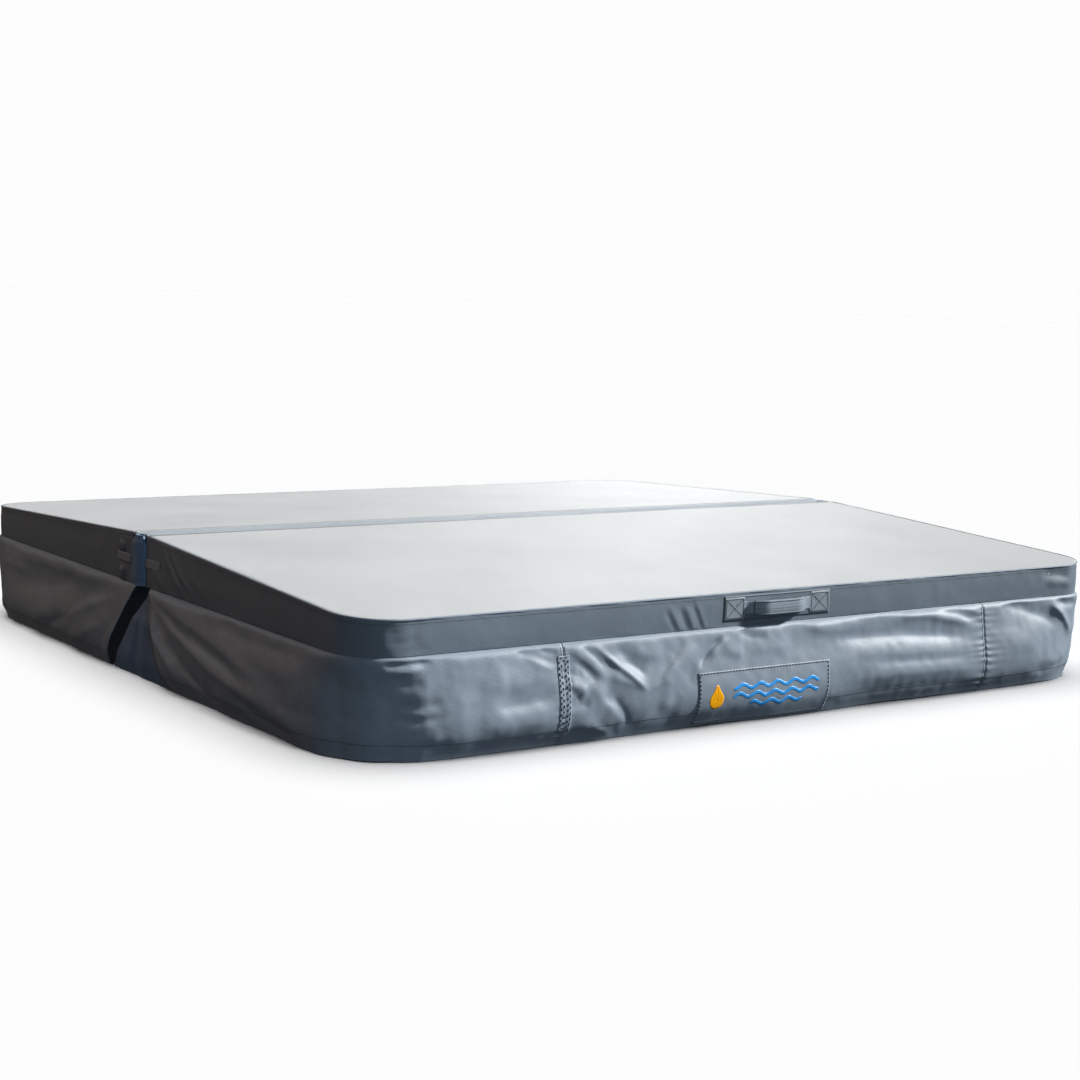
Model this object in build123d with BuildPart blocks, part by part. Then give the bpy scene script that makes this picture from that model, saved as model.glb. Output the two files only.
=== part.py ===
from build123d import *
import os
from math import atan, cos, degrees

# A folding spa cover: two tapered foam slabs in one sewn cover, hinged along the middle, with a
# hanging skirt all round. Millimetres. +X runs along the hinge, the front half with the lifting
# handle lies at -Y, +Z is up. The origin is below the middle, at the height of the skirt's hem.

# The cover's overall sizes
width = 2130.0  # along the hinge, from rim face to rim face
half_depth = 1002.0  # from the hinge line to the rim face
edge_height = 76.0  # rim height at the outer edge
ridge_height = 121.0  # rim height at the hinge
corner_radius = 120.0
skirt_drop = 213.0  # from the underside down to the hem
hinge_gap = 72.0  # between the two fold walls

# Layers, from the outside in
fabric = 2.0
layer_gap = 0.6  # from one loose layer to the next
film = 0.5
seam_gap = 0.3  # between pieces that are sewn to each other
bead_radius = 4.0  # of the rolled seam along the top edge

# Steel channel in the foam's hinge edge
channel_height = 78.0
channel_flange = 28.0
channel_wall = 1.5
channel_end = 15.0  # the foam runs past the channel by this much at each end

# Hinge strip, heat seal, and the soft parts that close the hinge's ends
strip_lap = 1.5  # how far the strip reaches over each fold wall
seal_side_gap = 3.0
seal_waist = 18.0  # half width of the seal's lower part, beside the zips
seal_waist_height = 72.0  # above the underside
seal_clear = 9.0  # from the seal's foot to the underside's level
seal_end = 25.0  # from the seal's end to the rim face
roll_stand_out = 18.0
roll_depth = 20.0
flap_reach = 108.0  # from the hinge line
flap_top_gap = 12.0  # from the flap's top to the roof
tab_reach = 112.0
tab_height = 21.0
tab_level = 58.0  # middle of the tabs, above the underside
webbing = 1.5

# Skirt
skirt_bulge = 22.0  # how far the skirt stands out at its fullest
skirt_hem_out = 6.0  # how far the hem stands out
skirt_lap = 8.0  # how far the skirt is sewn up over the rim
skirt_play = 0.4
full_height = 110.8  # the fullest point, above the hem
seam_left = 587.0  # panel seams on the front and the rear
seam_right = 650.0
front_slant_top = 60.0  # where the front skirt ends, from the hinge line
front_slant_hem = 180.0
rear_slant_top = 10.0
rear_slant_hem = 160.0
gusset_apex_down = 14.0
gusset_hem = 130.0

# Zip in each fold wall
zip_length = 1900.0
zip_level = 38.0  # above the underside
tape_width = 13.0
tape = 0.8
chain_height = 5.5
chain_depth = 2.6
chain_gap = 0.25
window_height = 8.0
slider_length = 13.0
slider_height = 9.5
slider_depth = 4.5
slider_play = 0.3
slider_rest = 12.0  # the slider's middle, from the chain's closed end
ear_wall = 1.2
pin_radius = 0.8
pin_out = 2.4  # the pull's pin, from the slider's face
eye_radius = 2.0
eye_play = 0.12
pull_width = 6.6
pull_length = 25.0
pull_wall = 1.4

# Tie-down straps behind the skirt, at the panel seams
tie_width = 25.0
tie_wall = 1.6
tie_length = 128.0
tie_inset = 30.0  # from the panel seam to the strap's middle
tie_depth = 1.0  # behind the rim face
clip_width = 36.0
clip_wall = 10.0
clip_base = 22.0
clip_prongs = 26.0
clip_pocket = 12.0
clip_play = 0.2

# Lifting handle
backing_length = 310.0
backing_height = 56.0
backing_level = 40.0  # its middle, above the underside
handle_pad = 57.0
handle_pad_height = 49.0
handle_span = 304.0
handle_bow = 20.0  # how far the strap's middle stands off
strap_height = 28.0
strap_wall = 2.4
grip_length = 150.0
grip_height = 33.0
grip_wall = 2.6

# Patches on the front skirt
badge_left = -236.0
badge_right = 142.0
badge_top_down = 89.0
badge_hem_up = 5.0
patch_wall = 1.0
strap_patch_width = 30.0
strap_patch_top_down = 23.0
strap_patch_height = 158.0

# Drain eyelets in the underside
eyelet_hole = 6.0
eyelet_barrel = 8.8
eyelet_flange = 13.0
eyelet_wall = 1.1
eyelet_play = 0.2
eyelet_spread = 620.0  # half the distance between a half's two eyelets
eyelet_reach = 551.0  # from the hinge line

half_width = width / 2
fold = hinge_gap / 2
slope = (ridge_height - edge_height) / (half_depth - fold)
underside = skirt_drop
ridge_top = skirt_drop + ridge_height
strip_half = fold + strip_lap
wrap_inset = fabric + layer_gap
foam_inset = wrap_inset + film + layer_gap
outboard = skirt_play + fabric
halves = {"front": -1, "rear": 1}
hands = {"left": -1, "right": 1}

os.makedirs("parts", exist_ok=True)


def write(piece, name):
    """Labels a finished piece and writes it under its own name."""
    piece.part.label = name
    export_step(piece.part, f"parts/{name}.step")


def roof(reach):
    """Height of the cover's top at this distance from the hinge line."""
    return ridge_top - slope * (reach - fold)


def slab_outline(floor, cover, inner, outer):
    """Outline of a slab whose top lies this far below the roof, as (reach, height) points."""
    return [
        (inner, floor),
        (outer, floor),
        (outer, roof(outer) - cover),
        (inner, roof(inner) - cover),
    ]


def half_block(side, outline, half_length, radius):
    """An outline of (reach, height) points run along the hinge, with its two far corners rounded."""
    reaches = [reach for reach, height in outline]
    inner, outer = min(reaches), max(reaches)
    with BuildPart() as block:
        with BuildSketch(Plane.YZ.offset(-half_length)):
            with BuildLine():
                Polyline([(side * reach, height) for reach, height in outline], close=True)
            make_face()
        extrude(amount=2 * half_length)
        with BuildSketch() as plan:
            with Locations((0, side * (inner + outer) / 2)):
                Rectangle(2 * half_length, outer - inner)
            far = plan.vertices().group_by(Axis.Y)[0 if side < 0 else -1]
            fillet(far, radius)
        extrude(amount=2 * ridge_top, mode=Mode.INTERSECT)
    return block.part


def skirt_sheet_outline(inner, outer):
    """Section of a sheet on the skirt: its lap on the rim, then one arc out and back to the hem."""
    full = (skirt_bulge, full_height)
    with BuildSketch() as section:
        with BuildLine():
            Line((inner, underside + skirt_lap), (inner, underside))
            ThreePointArc((inner, underside), (full[0] + inner, full[1]), (skirt_hem_out + inner, 0))
            Line((skirt_hem_out + inner, 0), (skirt_hem_out + outer, 0))
            ThreePointArc((skirt_hem_out + outer, 0), (full[0] + outer, full[1]), (outer, underside))
            Line((outer, underside), (outer, underside + skirt_lap))
            Line((outer, underside + skirt_lap), (inner, underside + skirt_lap))
        make_face()
    return section.sketch


def skirt_run(out, points, inner, outer):
    """A sheet of the skirt carried along a plan path, from where it faces the way that out points."""
    with BuildPart() as run:
        with BuildLine() as path:
            if len(points) > 2:
                FilletPolyline(*points, radius=corner_radius)
            else:
                Line(*points)
        along = Vector(out).cross(Vector(0, 0, 1))
        with BuildSketch(Plane(origin=path.line @ 0, x_dir=out, z_dir=along)):
            add(skirt_sheet_outline(inner, outer))
        sweep(path=path.line)
    return run.part


# Foam cores: expanded polystyrene, with slots in the hinge edge for the steel channel
foam_fold = fold + foam_inset
foam_floor = underside + foam_inset
channel_middle = (foam_floor + roof(foam_fold) - foam_inset) / 2


def channel_run(side, play, half_length):
    """The channel grown by a play: its web on the foam's hinge face, its flanges into the foam."""
    with BuildPart() as channel:
        with BuildSketch(Plane.YZ.offset(-half_length)):
            with Locations((side * (foam_fold + channel_flange / 2), channel_middle)):
                Rectangle(channel_flange + 2 * play, channel_height + 2 * play)
            web = foam_fold + channel_wall + play
            with Locations((side * (web + channel_flange / 2), channel_middle)):
                core_height = channel_height - 2 * channel_wall - 2 * play
                Rectangle(channel_flange, core_height, mode=Mode.SUBTRACT)
        extrude(amount=2 * half_length)
    return channel.part


channel_half = half_width - foam_inset - channel_end

for half, side in halves.items():
    with BuildPart() as foam_core:
        outline = slab_outline(foam_floor, foam_inset, foam_fold, half_depth - foam_inset)
        add(half_block(side, outline, half_width - foam_inset, corner_radius - foam_inset))
        add(channel_run(side, seam_gap, channel_half + seam_gap), mode=Mode.SUBTRACT)
    write(foam_core, f"{half}_foam_core")

    with BuildPart() as core_channel:
        add(channel_run(side, 0, channel_half))
    write(core_channel, f"{half}_core_channel")

# Vapour wraps: a closed bag of film round each core
for half, side in halves.items():
    with BuildPart() as vapour_wrap:
        for inset, mode in ((wrap_inset, Mode.ADD), (wrap_inset + film, Mode.SUBTRACT)):
            outline = slab_outline(underside + inset, inset, fold + inset, half_depth - inset)
            add(half_block(side, outline, half_width - inset, corner_radius - inset), mode=mode)
    write(vapour_wrap, f"{half}_vapour_wrap")

# Top panels: one sheet parallel to the roof, from the hinge strip to the rim
top_inner = strip_half + seam_gap
for half, side in halves.items():
    with BuildPart() as top_panel:
        outline = [
            (top_inner, roof(top_inner) - fabric),
            (half_depth, roof(half_depth) - fabric),
            (half_depth, roof(half_depth)),
            (top_inner, roof(top_inner)),
        ]
        add(half_block(side, outline, half_width, corner_radius))
    write(top_panel, f"{half}_top_panel")

# Rim bands: the tapered wall round three sides, below the top panel
for half, side in halves.items():
    with BuildPart() as rim_band:
        outline = slab_outline(underside, fabric + seam_gap, fold, half_depth)
        add(half_block(side, outline, half_width, corner_radius))
        cavity = slab_outline(underside - fabric, -fabric, fold - fabric, half_depth - fabric)
        hollow = half_block(side, cavity, half_width - fabric, corner_radius - fabric)
        add(hollow, mode=Mode.SUBTRACT)
    write(rim_band, f"{half}_rim_band")

# Fold walls: the sheet that faces the hinge, with the zip's window
wall_half = half_width - fabric - seam_gap
wall_top = ridge_top - fabric - seam_gap
zip_height = underside + zip_level
for half, side in halves.items():
    with BuildPart() as fold_wall:
        with BuildSketch(Plane.XZ.offset(-side * fold)):
            with Locations((0, (underside + wall_top) / 2)):
                Rectangle(2 * wall_half, wall_top - underside)
            with Locations((0, zip_height)):
                Rectangle(zip_length, window_height, mode=Mode.SUBTRACT)
        extrude(amount=-side * fabric)
    write(fold_wall, f"{half}_fold_wall")

# Under panels, with a hole for each drain eyelet, whose flange is pressed flush into the sheet
panel_inset = fabric + seam_gap
eyelet_places = {side: [(x, side * eyelet_reach) for x in (-eyelet_spread, eyelet_spread)]
                 for side in halves.values()}
for half, side in halves.items():
    with BuildPart() as under_panel:
        outline = [
            (fold + panel_inset, underside),
            (half_depth - panel_inset, underside),
            (half_depth - panel_inset, underside + fabric),
            (fold + panel_inset, underside + fabric),
        ]
        add(half_block(side, outline, half_width - panel_inset, corner_radius - panel_inset))
        with BuildSketch(Plane.XY.offset(underside)):
            with Locations(*eyelet_places[side]):
                Circle(eyelet_barrel + eyelet_play)
        extrude(amount=fabric, mode=Mode.SUBTRACT)
        with BuildSketch(Plane.XY.offset(underside)):
            with Locations(*eyelet_places[side]):
                Circle(eyelet_flange + eyelet_play)
        extrude(amount=eyelet_wall, mode=Mode.SUBTRACT)
    write(under_panel, f"{half}_under_panel")

    with BuildPart() as drain_eyelets:
        with BuildSketch(Plane.XY.offset(underside)):
            with Locations(*eyelet_places[side]):
                Circle(eyelet_flange)
        extrude(amount=eyelet_wall)
        with BuildSketch(Plane.XY.offset(underside)):
            with Locations(*eyelet_places[side]):
                Circle(eyelet_barrel)
        extrude(amount=fabric + layer_gap / 2)
        with BuildSketch(Plane.XY.offset(underside)):
            with Locations(*eyelet_places[side]):
                Circle(eyelet_hole)
        extrude(amount=fabric + layer_gap, mode=Mode.SUBTRACT)
    write(drain_eyelets, f"{half}_drain_eyelets")

# Edge piping: a rolled seam that lies against the rim, its top level with the roof
bead_out = bead_radius + seam_gap
roof_tilt = degrees(atan(slope))
for half, side in halves.items():
    with BuildPart() as edge_piping:
        edge = half_depth + bead_out
        level = roof(half_depth) - bead_radius
        bead_plane = Plane(
            origin=(0, side * edge, level),
            x_dir=(1, 0, 0),
            z_dir=Vector(0, 0, 1).rotate(Axis.X, side * -roof_tilt),
        )
        reach = (edge - fold - strip_lap) / cos(atan(slope))
        side_x = half_width + bead_out
        with BuildLine(bead_plane) as path:
            FilletPolyline(
                (-side_x, -side * reach),
                (-side_x, 0),
                (side_x, 0),
                (side_x, -side * reach),
                radius=corner_radius + bead_out,
            )
        with BuildSketch(Plane(origin=path.line @ 0, z_dir=path.line % 0)):
            Circle(bead_radius)
        sweep(path=path.line)
    write(edge_piping, f"{half}_edge_piping")

# Zips: two tapes on the fold wall, the closed chain between them, and the slider and its pull
tape_face = fold - tape
tape_middle = (chain_height + tape_width) / 2 + chain_gap
pin_reach = tape_face - slider_depth - pin_out
slider_x = slider_rest - zip_length / 2
for half, side in halves.items():
    with BuildPart() as zip_tape:
        with BuildSketch(Plane.XZ.offset(-side * tape_face)):
            with Locations((0, zip_height - tape_middle), (0, zip_height + tape_middle)):
                Rectangle(zip_length, tape_width)
        extrude(amount=-side * tape)
    write(zip_tape, f"{half}_zip_tape")

    with BuildPart() as zip_chain:
        with Locations((0, side * (fold - tape / 2), zip_height)):
            Box(zip_length, chain_depth, chain_height)
    write(zip_chain, f"{half}_zip_chain")

    with BuildPart() as zip_slider:
        with BuildSketch(Plane.YZ.offset(slider_x)):
            body_reach = tape_face - slider_play
            with Locations((side * (body_reach - slider_depth / 2), zip_height)):
                Rectangle(slider_depth, slider_height)
            groove = (chain_depth - tape) / 2
            with Locations((side * body_reach, zip_height)):
                Rectangle(2 * groove, chain_height + 2 * slider_play, mode=Mode.SUBTRACT)
        extrude(amount=slider_length / 2, both=True)
        ear_middle = pull_width / 2 + eye_play + ear_wall / 2
        ear_depth = pin_out + pin_radius + ear_wall
        with BuildSketch(Plane.YZ.offset(slider_x)):
            with Locations((side * (body_reach - slider_depth - ear_depth / 2), zip_height)):
                Rectangle(ear_depth, 2 * (pin_radius + ear_wall))
        extrude(amount=ear_middle + ear_wall / 2, both=True)
        with BuildSketch(Plane.YZ.offset(slider_x)):
            with Locations((side * (body_reach - slider_depth - ear_depth / 2), zip_height)):
                Rectangle(ear_depth, slider_height)
        extrude(amount=ear_middle - ear_wall / 2, both=True, mode=Mode.SUBTRACT)
        with BuildSketch(Plane.YZ.offset(slider_x)):
            with Locations((side * (pin_reach - slider_play), zip_height)):
                Circle(pin_radius)
        extrude(amount=ear_middle, both=True)
    write(zip_slider, f"{half}_zip_slider")

    with BuildPart() as zip_pull:
        pull_y = side * (pin_reach - slider_play)
        with BuildSketch(Plane.YZ.offset(slider_x)):
            with Locations((pull_y, zip_height)):
                Circle(eye_radius)
            with Locations((pull_y, zip_height - pull_length / 2)):
                Rectangle(pull_wall, pull_length)
            with Locations((pull_y, zip_height)):
                Circle(pin_radius + eye_play, mode=Mode.SUBTRACT)
        extrude(amount=pull_width / 2, both=True)
    write(zip_pull, f"{half}_zip_pull")

# Hinge strip: the sheet across the gap, and the heat seal that hangs below it
with BuildPart() as hinge_strip:
    with Locations((0, 0, ridge_top - fabric / 2)):
        Box(width, 2 * strip_half, fabric)
write(hinge_strip, "hinge_strip")

seal_top = ridge_top - fabric - seam_gap
seal_half = fold - seal_side_gap
with BuildPart() as hinge_seal:
    with BuildSketch(Plane.YZ):
        with BuildLine():
            waist = underside + seal_waist_height
            shoulder = waist + seal_half - seal_waist
            foot = underside + seal_clear
            stem = [(seal_waist, foot), (seal_waist, waist)]
            front_side = stem + [(seal_half, shoulder), (seal_half, seal_top)]
            rear_side = [(-y, z) for y, z in reversed(front_side)]
            Polyline(front_side + rear_side, close=True)
        make_face()
    extrude(amount=half_width - seal_end, both=True)
write(hinge_seal, "hinge_seal")

# Hinge ends: a padded roll in the gap, a flap on the rear rim, and webbing tabs on both rims
roll_floor = underside + skirt_lap + 2 * seam_gap
for hand, sign in hands.items():
    with BuildPart() as hinge_end_roll:
        with BuildSketch(Plane.XY.offset(roll_floor)):
            with Locations((sign * (half_width + roll_stand_out - roll_depth), 0)):
                Ellipse(roll_depth, fold - layer_gap)
        extrude(amount=ridge_top - fabric - layer_gap - roll_floor)
    write(hinge_end_roll, f"hinge_end_roll_{hand}")

    with BuildPart() as hinge_end_flap:
        with BuildSketch(Plane.YZ.offset(sign * (half_width + seam_gap))):
            with BuildLine():
                Polyline(
                    (strip_half, roll_floor),
                    (flap_reach, roll_floor),
                    (flap_reach, roof(flap_reach) - flap_top_gap),
                    (strip_half, roof(strip_half) - flap_top_gap),
                    close=True,
                )
            make_face()
        extrude(amount=sign * fabric)
    write(hinge_end_flap, f"hinge_end_flap_{hand}")

    for half, side in halves.items():
        tab_face = half_width + seam_gap + (fabric + seam_gap if half == "rear" else 0)
        with BuildPart() as hinge_tab:
            with BuildSketch(Plane.YZ.offset(sign * tab_face)):
                with Locations((side * (strip_half + tab_reach) / 2, underside + tab_level)):
                    Rectangle(tab_reach - strip_half, tab_height)
            extrude(amount=sign * webbing)
        write(hinge_tab, f"hinge_tab_{half}_{hand}")

# Skirts: a left, a centre and a right panel on each half, cut on a slant at the hinge
slants = {"front": (front_slant_top, front_slant_hem), "rear": (rear_slant_top, rear_slant_hem)}
far_x = half_width + skirt_bulge + fabric + corner_radius


def hinge_slant(side, reach_top, reach_hem):
    """The space on the hinge side of a skirt's slanted edge, to be cut away."""
    lean = (reach_hem - reach_top) / skirt_drop
    top = underside + 2 * skirt_lap
    with BuildPart() as space:
        with BuildSketch(Plane.YZ):
            with BuildLine():
                Polyline(
                    (side * (reach_hem + lean * skirt_lap), -skirt_lap),
                    (side * reach_top, underside),
                    (side * reach_top, top),
                    (-side * reach_hem, top),
                    (-side * reach_hem, -skirt_lap),
                    close=True,
                )
            make_face()
        extrude(amount=far_x, both=True)
    return space.part


for half, side in halves.items():
    with BuildPart() as skirt_centre:
        ends = (seam_gap / 2 - seam_left, side * half_depth), (seam_right - seam_gap / 2, side * half_depth)
        add(skirt_run((0, side, 0), ends, skirt_play, outboard))
    write(skirt_centre, f"{half}_skirt_centre")

    for hand, sign in hands.items():
        seam = (seam_left if hand == "left" else seam_right) + seam_gap / 2
        rim_line = side * half_depth
        corner = [(sign * seam, rim_line), (sign * half_width, rim_line), (sign * half_width, 0)]
        with BuildPart() as skirt_side:
            add(skirt_run((0, side, 0), corner, skirt_play, outboard))
            add(hinge_slant(side, *slants[half]), mode=Mode.SUBTRACT)
        write(skirt_side, f"{half}_skirt_{hand}")

# Skirt gussets: the triangle that closes the skirt under the hinge, sewn to the front skirt
for hand, sign in hands.items():
    with BuildPart() as skirt_gusset:
        ends = [(sign * half_width, -front_slant_hem), (sign * half_width, gusset_hem)]
        add(skirt_run((sign, 0, 0), ends, skirt_play, outboard))
        with BuildSketch(Plane.YZ):
            with BuildLine():
                lean = (front_slant_hem - front_slant_top) / skirt_drop
                apex = front_slant_top + lean * gusset_apex_down - seam_gap
                Polyline(
                    (-front_slant_hem + seam_gap, 0),
                    (-apex, underside - gusset_apex_down),
                    (gusset_hem, 0),
                    close=True,
                )
            make_face()
        extrude(amount=sign * far_x, mode=Mode.INTERSECT)
    write(skirt_gusset, f"skirt_gusset_{hand}")

# Tie-down straps hang from the rim's seam, behind the skirt, each with half of a snap clip
pivot_height = underside - seam_gap - tie_wall / 2
strap_foot = pivot_height - tie_length
for half, side in halves.items():
    tie_y = side * (half_depth - tie_depth)
    for hand, sign in hands.items():
        tie_x = sign * ((seam_left if hand == "left" else seam_right) - tie_inset)
        with BuildPart() as tie_strap:
            with BuildSketch(Plane.YZ.offset(tie_x)):
                with Locations((tie_y, pivot_height)):
                    Circle(tie_wall / 2)
                with Locations((tie_y, (pivot_height + strap_foot) / 2)):
                    Rectangle(tie_wall, tie_length)
            extrude(amount=tie_width / 2, both=True)
        write(tie_strap, f"tie_strap_{half}_{hand}")

        with BuildPart() as tie_clip:
            clip_top = strap_foot + clip_pocket
            with BuildSketch(Plane.XZ.offset(-tie_y)):
                with Locations((tie_x, clip_top - clip_base / 2)):
                    RectangleRounded(clip_width, clip_base, 3.0)
                prong_top = clip_top - clip_base + 3.0
                for prong, reach in ((-1, clip_prongs), (0, clip_prongs * 0.8), (1, clip_prongs)):
                    with Locations((tie_x + prong * (clip_width / 2 - 4.0), prong_top - reach / 2)):
                        RectangleRounded(6.0, reach, 2.0)
                    if prong:
                        with Locations((tie_x + prong * (clip_width / 2 - 3.0), prong_top - reach + 7.0)):
                            RectangleRounded(8.0, 9.0, 2.5)
            extrude(amount=clip_wall / 2, both=True)
            with Locations((tie_x, tie_y, clip_top - clip_pocket / 2)):
                Box(tie_width + 2 * clip_play, tie_wall + 2 * clip_play, clip_pocket + 2 * clip_play,
                    mode=Mode.SUBTRACT)
        write(tie_clip, f"tie_clip_{half}_{hand}")

# Lifting handle on the front rim: a backing, a webbing strap that bows outward, and its grip
rim_face = -half_depth
backing_face = rim_face - seam_gap - webbing
handle_height = underside + backing_level
with BuildPart() as handle_backing:
    with Locations((0, rim_face - seam_gap - webbing / 2, handle_height)):
        Box(backing_length, webbing, backing_height)
write(handle_backing, "handle_backing")

pad_face = backing_face - seam_gap
bow_half = handle_span / 2 - handle_pad
with BuildPart() as handle_strap:
    for sign in hands.values():
        with Locations((sign * (handle_span - handle_pad) / 2, pad_face - strap_wall / 2, handle_height)):
            Box(handle_pad, strap_wall, handle_pad_height)
    with BuildSketch(Plane.XY.offset(handle_height)):
        with BuildLine():
            ThreePointArc((-bow_half, pad_face), (0, pad_face - handle_bow), (bow_half, pad_face))
            Line((bow_half, pad_face), (bow_half, pad_face - strap_wall))
            ThreePointArc(
                (bow_half, pad_face - strap_wall),
                (0, pad_face - handle_bow - strap_wall),
                (-bow_half, pad_face - strap_wall),
            )
            Line((-bow_half, pad_face - strap_wall), (-bow_half, pad_face))
        make_face()
    extrude(amount=strap_height / 2, both=True)
write(handle_strap, "handle_strap")

with BuildPart() as handle_grip:
    bow_radius = (bow_half**2 + handle_bow**2) / (2 * handle_bow)
    bow_centre = pad_face - handle_bow + bow_radius
    for play, height, mode in ((grip_wall, grip_height, Mode.ADD), (seam_gap, strap_height, Mode.SUBTRACT)):
        with BuildSketch(Plane.XY.offset(handle_height)):
            with Locations((0, bow_centre)):
                Circle(bow_radius + strap_wall + play)
                Circle(bow_radius - play, mode=Mode.SUBTRACT)
                with Locations((0, -bow_radius)):
                    Rectangle(grip_length, bow_radius, mode=Mode.INTERSECT)
        extrude(amount=height / 2 + (seam_gap if mode == Mode.SUBTRACT else 0), both=True, mode=mode)
write(handle_grip, "handle_grip")

# Patches sewn on the front skirt: the badge, and the strap's anchor patch over the left seam
patch_inner = outboard + seam_gap
patches = {
    "badge_patch": (badge_left, badge_right, underside - badge_top_down, badge_hem_up),
    "strap_patch": (
        -seam_left - strap_patch_width / 2,
        -seam_left + strap_patch_width / 2,
        underside - strap_patch_top_down,
        underside - strap_patch_top_down - strap_patch_height,
    ),
}
for name, (left, right, top, bottom) in patches.items():
    with BuildPart() as patch:
        ends = [(left, -half_depth), (right, -half_depth)]
        add(skirt_run((0, -1, 0), ends, patch_inner, patch_inner + patch_wall))
        with Locations(((left + right) / 2, -half_depth, (top + bottom) / 2)):
            Box(right - left, 4 * skirt_bulge, top - bottom, mode=Mode.INTERSECT)
    write(patch, name)
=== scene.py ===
from math import cos, pi, radians, sin

import bpy
import numpy as np
from mathutils import Matrix, Vector


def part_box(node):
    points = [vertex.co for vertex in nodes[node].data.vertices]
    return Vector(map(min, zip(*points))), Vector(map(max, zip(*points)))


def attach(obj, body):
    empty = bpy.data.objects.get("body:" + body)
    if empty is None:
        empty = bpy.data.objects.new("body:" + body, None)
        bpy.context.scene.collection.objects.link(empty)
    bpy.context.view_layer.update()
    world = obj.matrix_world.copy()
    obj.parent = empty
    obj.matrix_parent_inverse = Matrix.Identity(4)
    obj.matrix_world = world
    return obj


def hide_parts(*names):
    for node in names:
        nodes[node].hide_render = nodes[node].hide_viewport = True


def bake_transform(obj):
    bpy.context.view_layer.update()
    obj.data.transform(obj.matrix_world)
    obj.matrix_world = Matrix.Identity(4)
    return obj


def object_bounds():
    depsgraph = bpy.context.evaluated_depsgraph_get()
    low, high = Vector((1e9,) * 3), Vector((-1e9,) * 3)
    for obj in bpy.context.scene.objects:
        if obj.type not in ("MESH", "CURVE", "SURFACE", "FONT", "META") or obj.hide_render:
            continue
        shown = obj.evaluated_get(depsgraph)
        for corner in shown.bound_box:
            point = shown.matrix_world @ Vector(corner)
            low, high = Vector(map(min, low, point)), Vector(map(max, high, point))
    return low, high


# A folding spa cover: two tapered foam slabs in one sewn cover of woven cloth, hinged along the
# middle, with a skirt hanging all round. Metres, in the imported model's frame: +X runs along the
# hinge, the front half with the lifting handle lies at -Y, +Z is up.
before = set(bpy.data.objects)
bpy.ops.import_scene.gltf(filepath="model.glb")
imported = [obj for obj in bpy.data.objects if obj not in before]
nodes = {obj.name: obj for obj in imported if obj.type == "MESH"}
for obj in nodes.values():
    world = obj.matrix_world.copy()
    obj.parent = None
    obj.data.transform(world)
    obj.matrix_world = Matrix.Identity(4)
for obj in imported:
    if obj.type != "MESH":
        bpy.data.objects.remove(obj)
cad_low, cad_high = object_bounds()
scene = bpy.context.scene
mm = 0.001
halves = {"front": -1, "rear": 1}
hands = {"left": -1, "right": 1}

# Camera: low, off the cover's near left corner, with a fairly long lens and a slight roll.
yaw, pitch, roll = radians(35.237), radians(-7.612), radians(2.008)
ahead = Vector((sin(yaw) * cos(pitch), cos(yaw) * cos(pitch), sin(pitch)))
level = Vector((cos(yaw), -sin(yaw), 0))
above = level.cross(ahead)
camera = bpy.data.objects.new("camera", bpy.data.cameras.new("camera"))
camera.data.sensor_width = 36
camera.data.lens = 66.75
camera_axes = (level * cos(roll) + above * sin(roll), above * cos(roll) - level * sin(roll), -ahead)
camera.matrix_world = Matrix.Translation((-2.949, -4.261, 0.962)) @ Matrix(camera_axes).transposed().to_4x4()
scene.collection.objects.link(camera)
scene.camera = camera

# Studio light: a key on the right that only grazes the front, a cool fill low in front, a pale one
# behind on the left with a weak warm one under it, and a wide one behind on the right.
scene.view_settings.view_transform = "Standard"


def aim(name, kind, towards, energy, colour, **settings):
    """A lamp as far off in this direction as the vector is long, which faces the cover."""
    lamp = bpy.data.objects.new(name, bpy.data.lights.new(name, kind))
    lamp.data.energy = energy
    lamp.data.color = colour
    for setting, value in settings.items():
        setattr(lamp.data, setting, value)
    place = Matrix.Translation(towards)
    lamp.matrix_world = place @ Vector(towards).to_track_quat("Z", "Y").to_matrix().to_4x4()
    scene.collection.objects.link(lamp)
    return lamp


key = aim("key", "SUN", (7.9, -3.2, 5.2), 6.8, (1.0, 0.99, 0.97), angle=radians(5))
front_fill = aim("front_fill", "AREA", (-2.0, -6.5, 1.5), 72, (0.75, 0.88, 1.0), size=2.0)
left_fill = aim("left_fill", "AREA", (-3.2, 4.8, 3.6), 44, (1.0, 0.89, 0.86), size=1.2)
warm_fill = aim("warm_fill", "AREA", (-5.0, 4.0, 1.3), 28, (1.0, 0.56, 0.28), size=2.0)
rear_fill = aim("rear_fill", "AREA", (5.0, 5.6, 2.4), 205, (0.97, 0.98, 1.0), size=2.0)
world = bpy.data.worlds.new("room")
world.use_nodes = True
world.node_tree.nodes["Background"].inputs["Color"].default_value = (0.04, 0.042, 0.047, 1)
scene.world = world


# Stage: a pale floor at the hem's level under its own overhead lamp, and a pale backdrop.
def linear(code):
    """Linear colour of an sRGB hex code, by the standard curve."""
    channel = np.array([int(code[place : place + 2], 16) for place in (1, 3, 5)]) / 255
    value = np.where(channel <= 0.04045, channel / 12.92, ((channel + 0.055) / 1.055) ** 2.4)
    return (*value.tolist(), 1.0)


def wire(material, node, inputs):
    """Gives a node's sockets their values, or links them to another node's named or first output."""
    for name, value in inputs.items():
        if isinstance(value, bpy.types.Node):
            value = value.outputs[0]
        if isinstance(value, bpy.types.NodeSocket):
            material.node_tree.links.new(value, node.inputs[name])
        else:
            node.inputs[name].default_value = value
    return node


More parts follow.
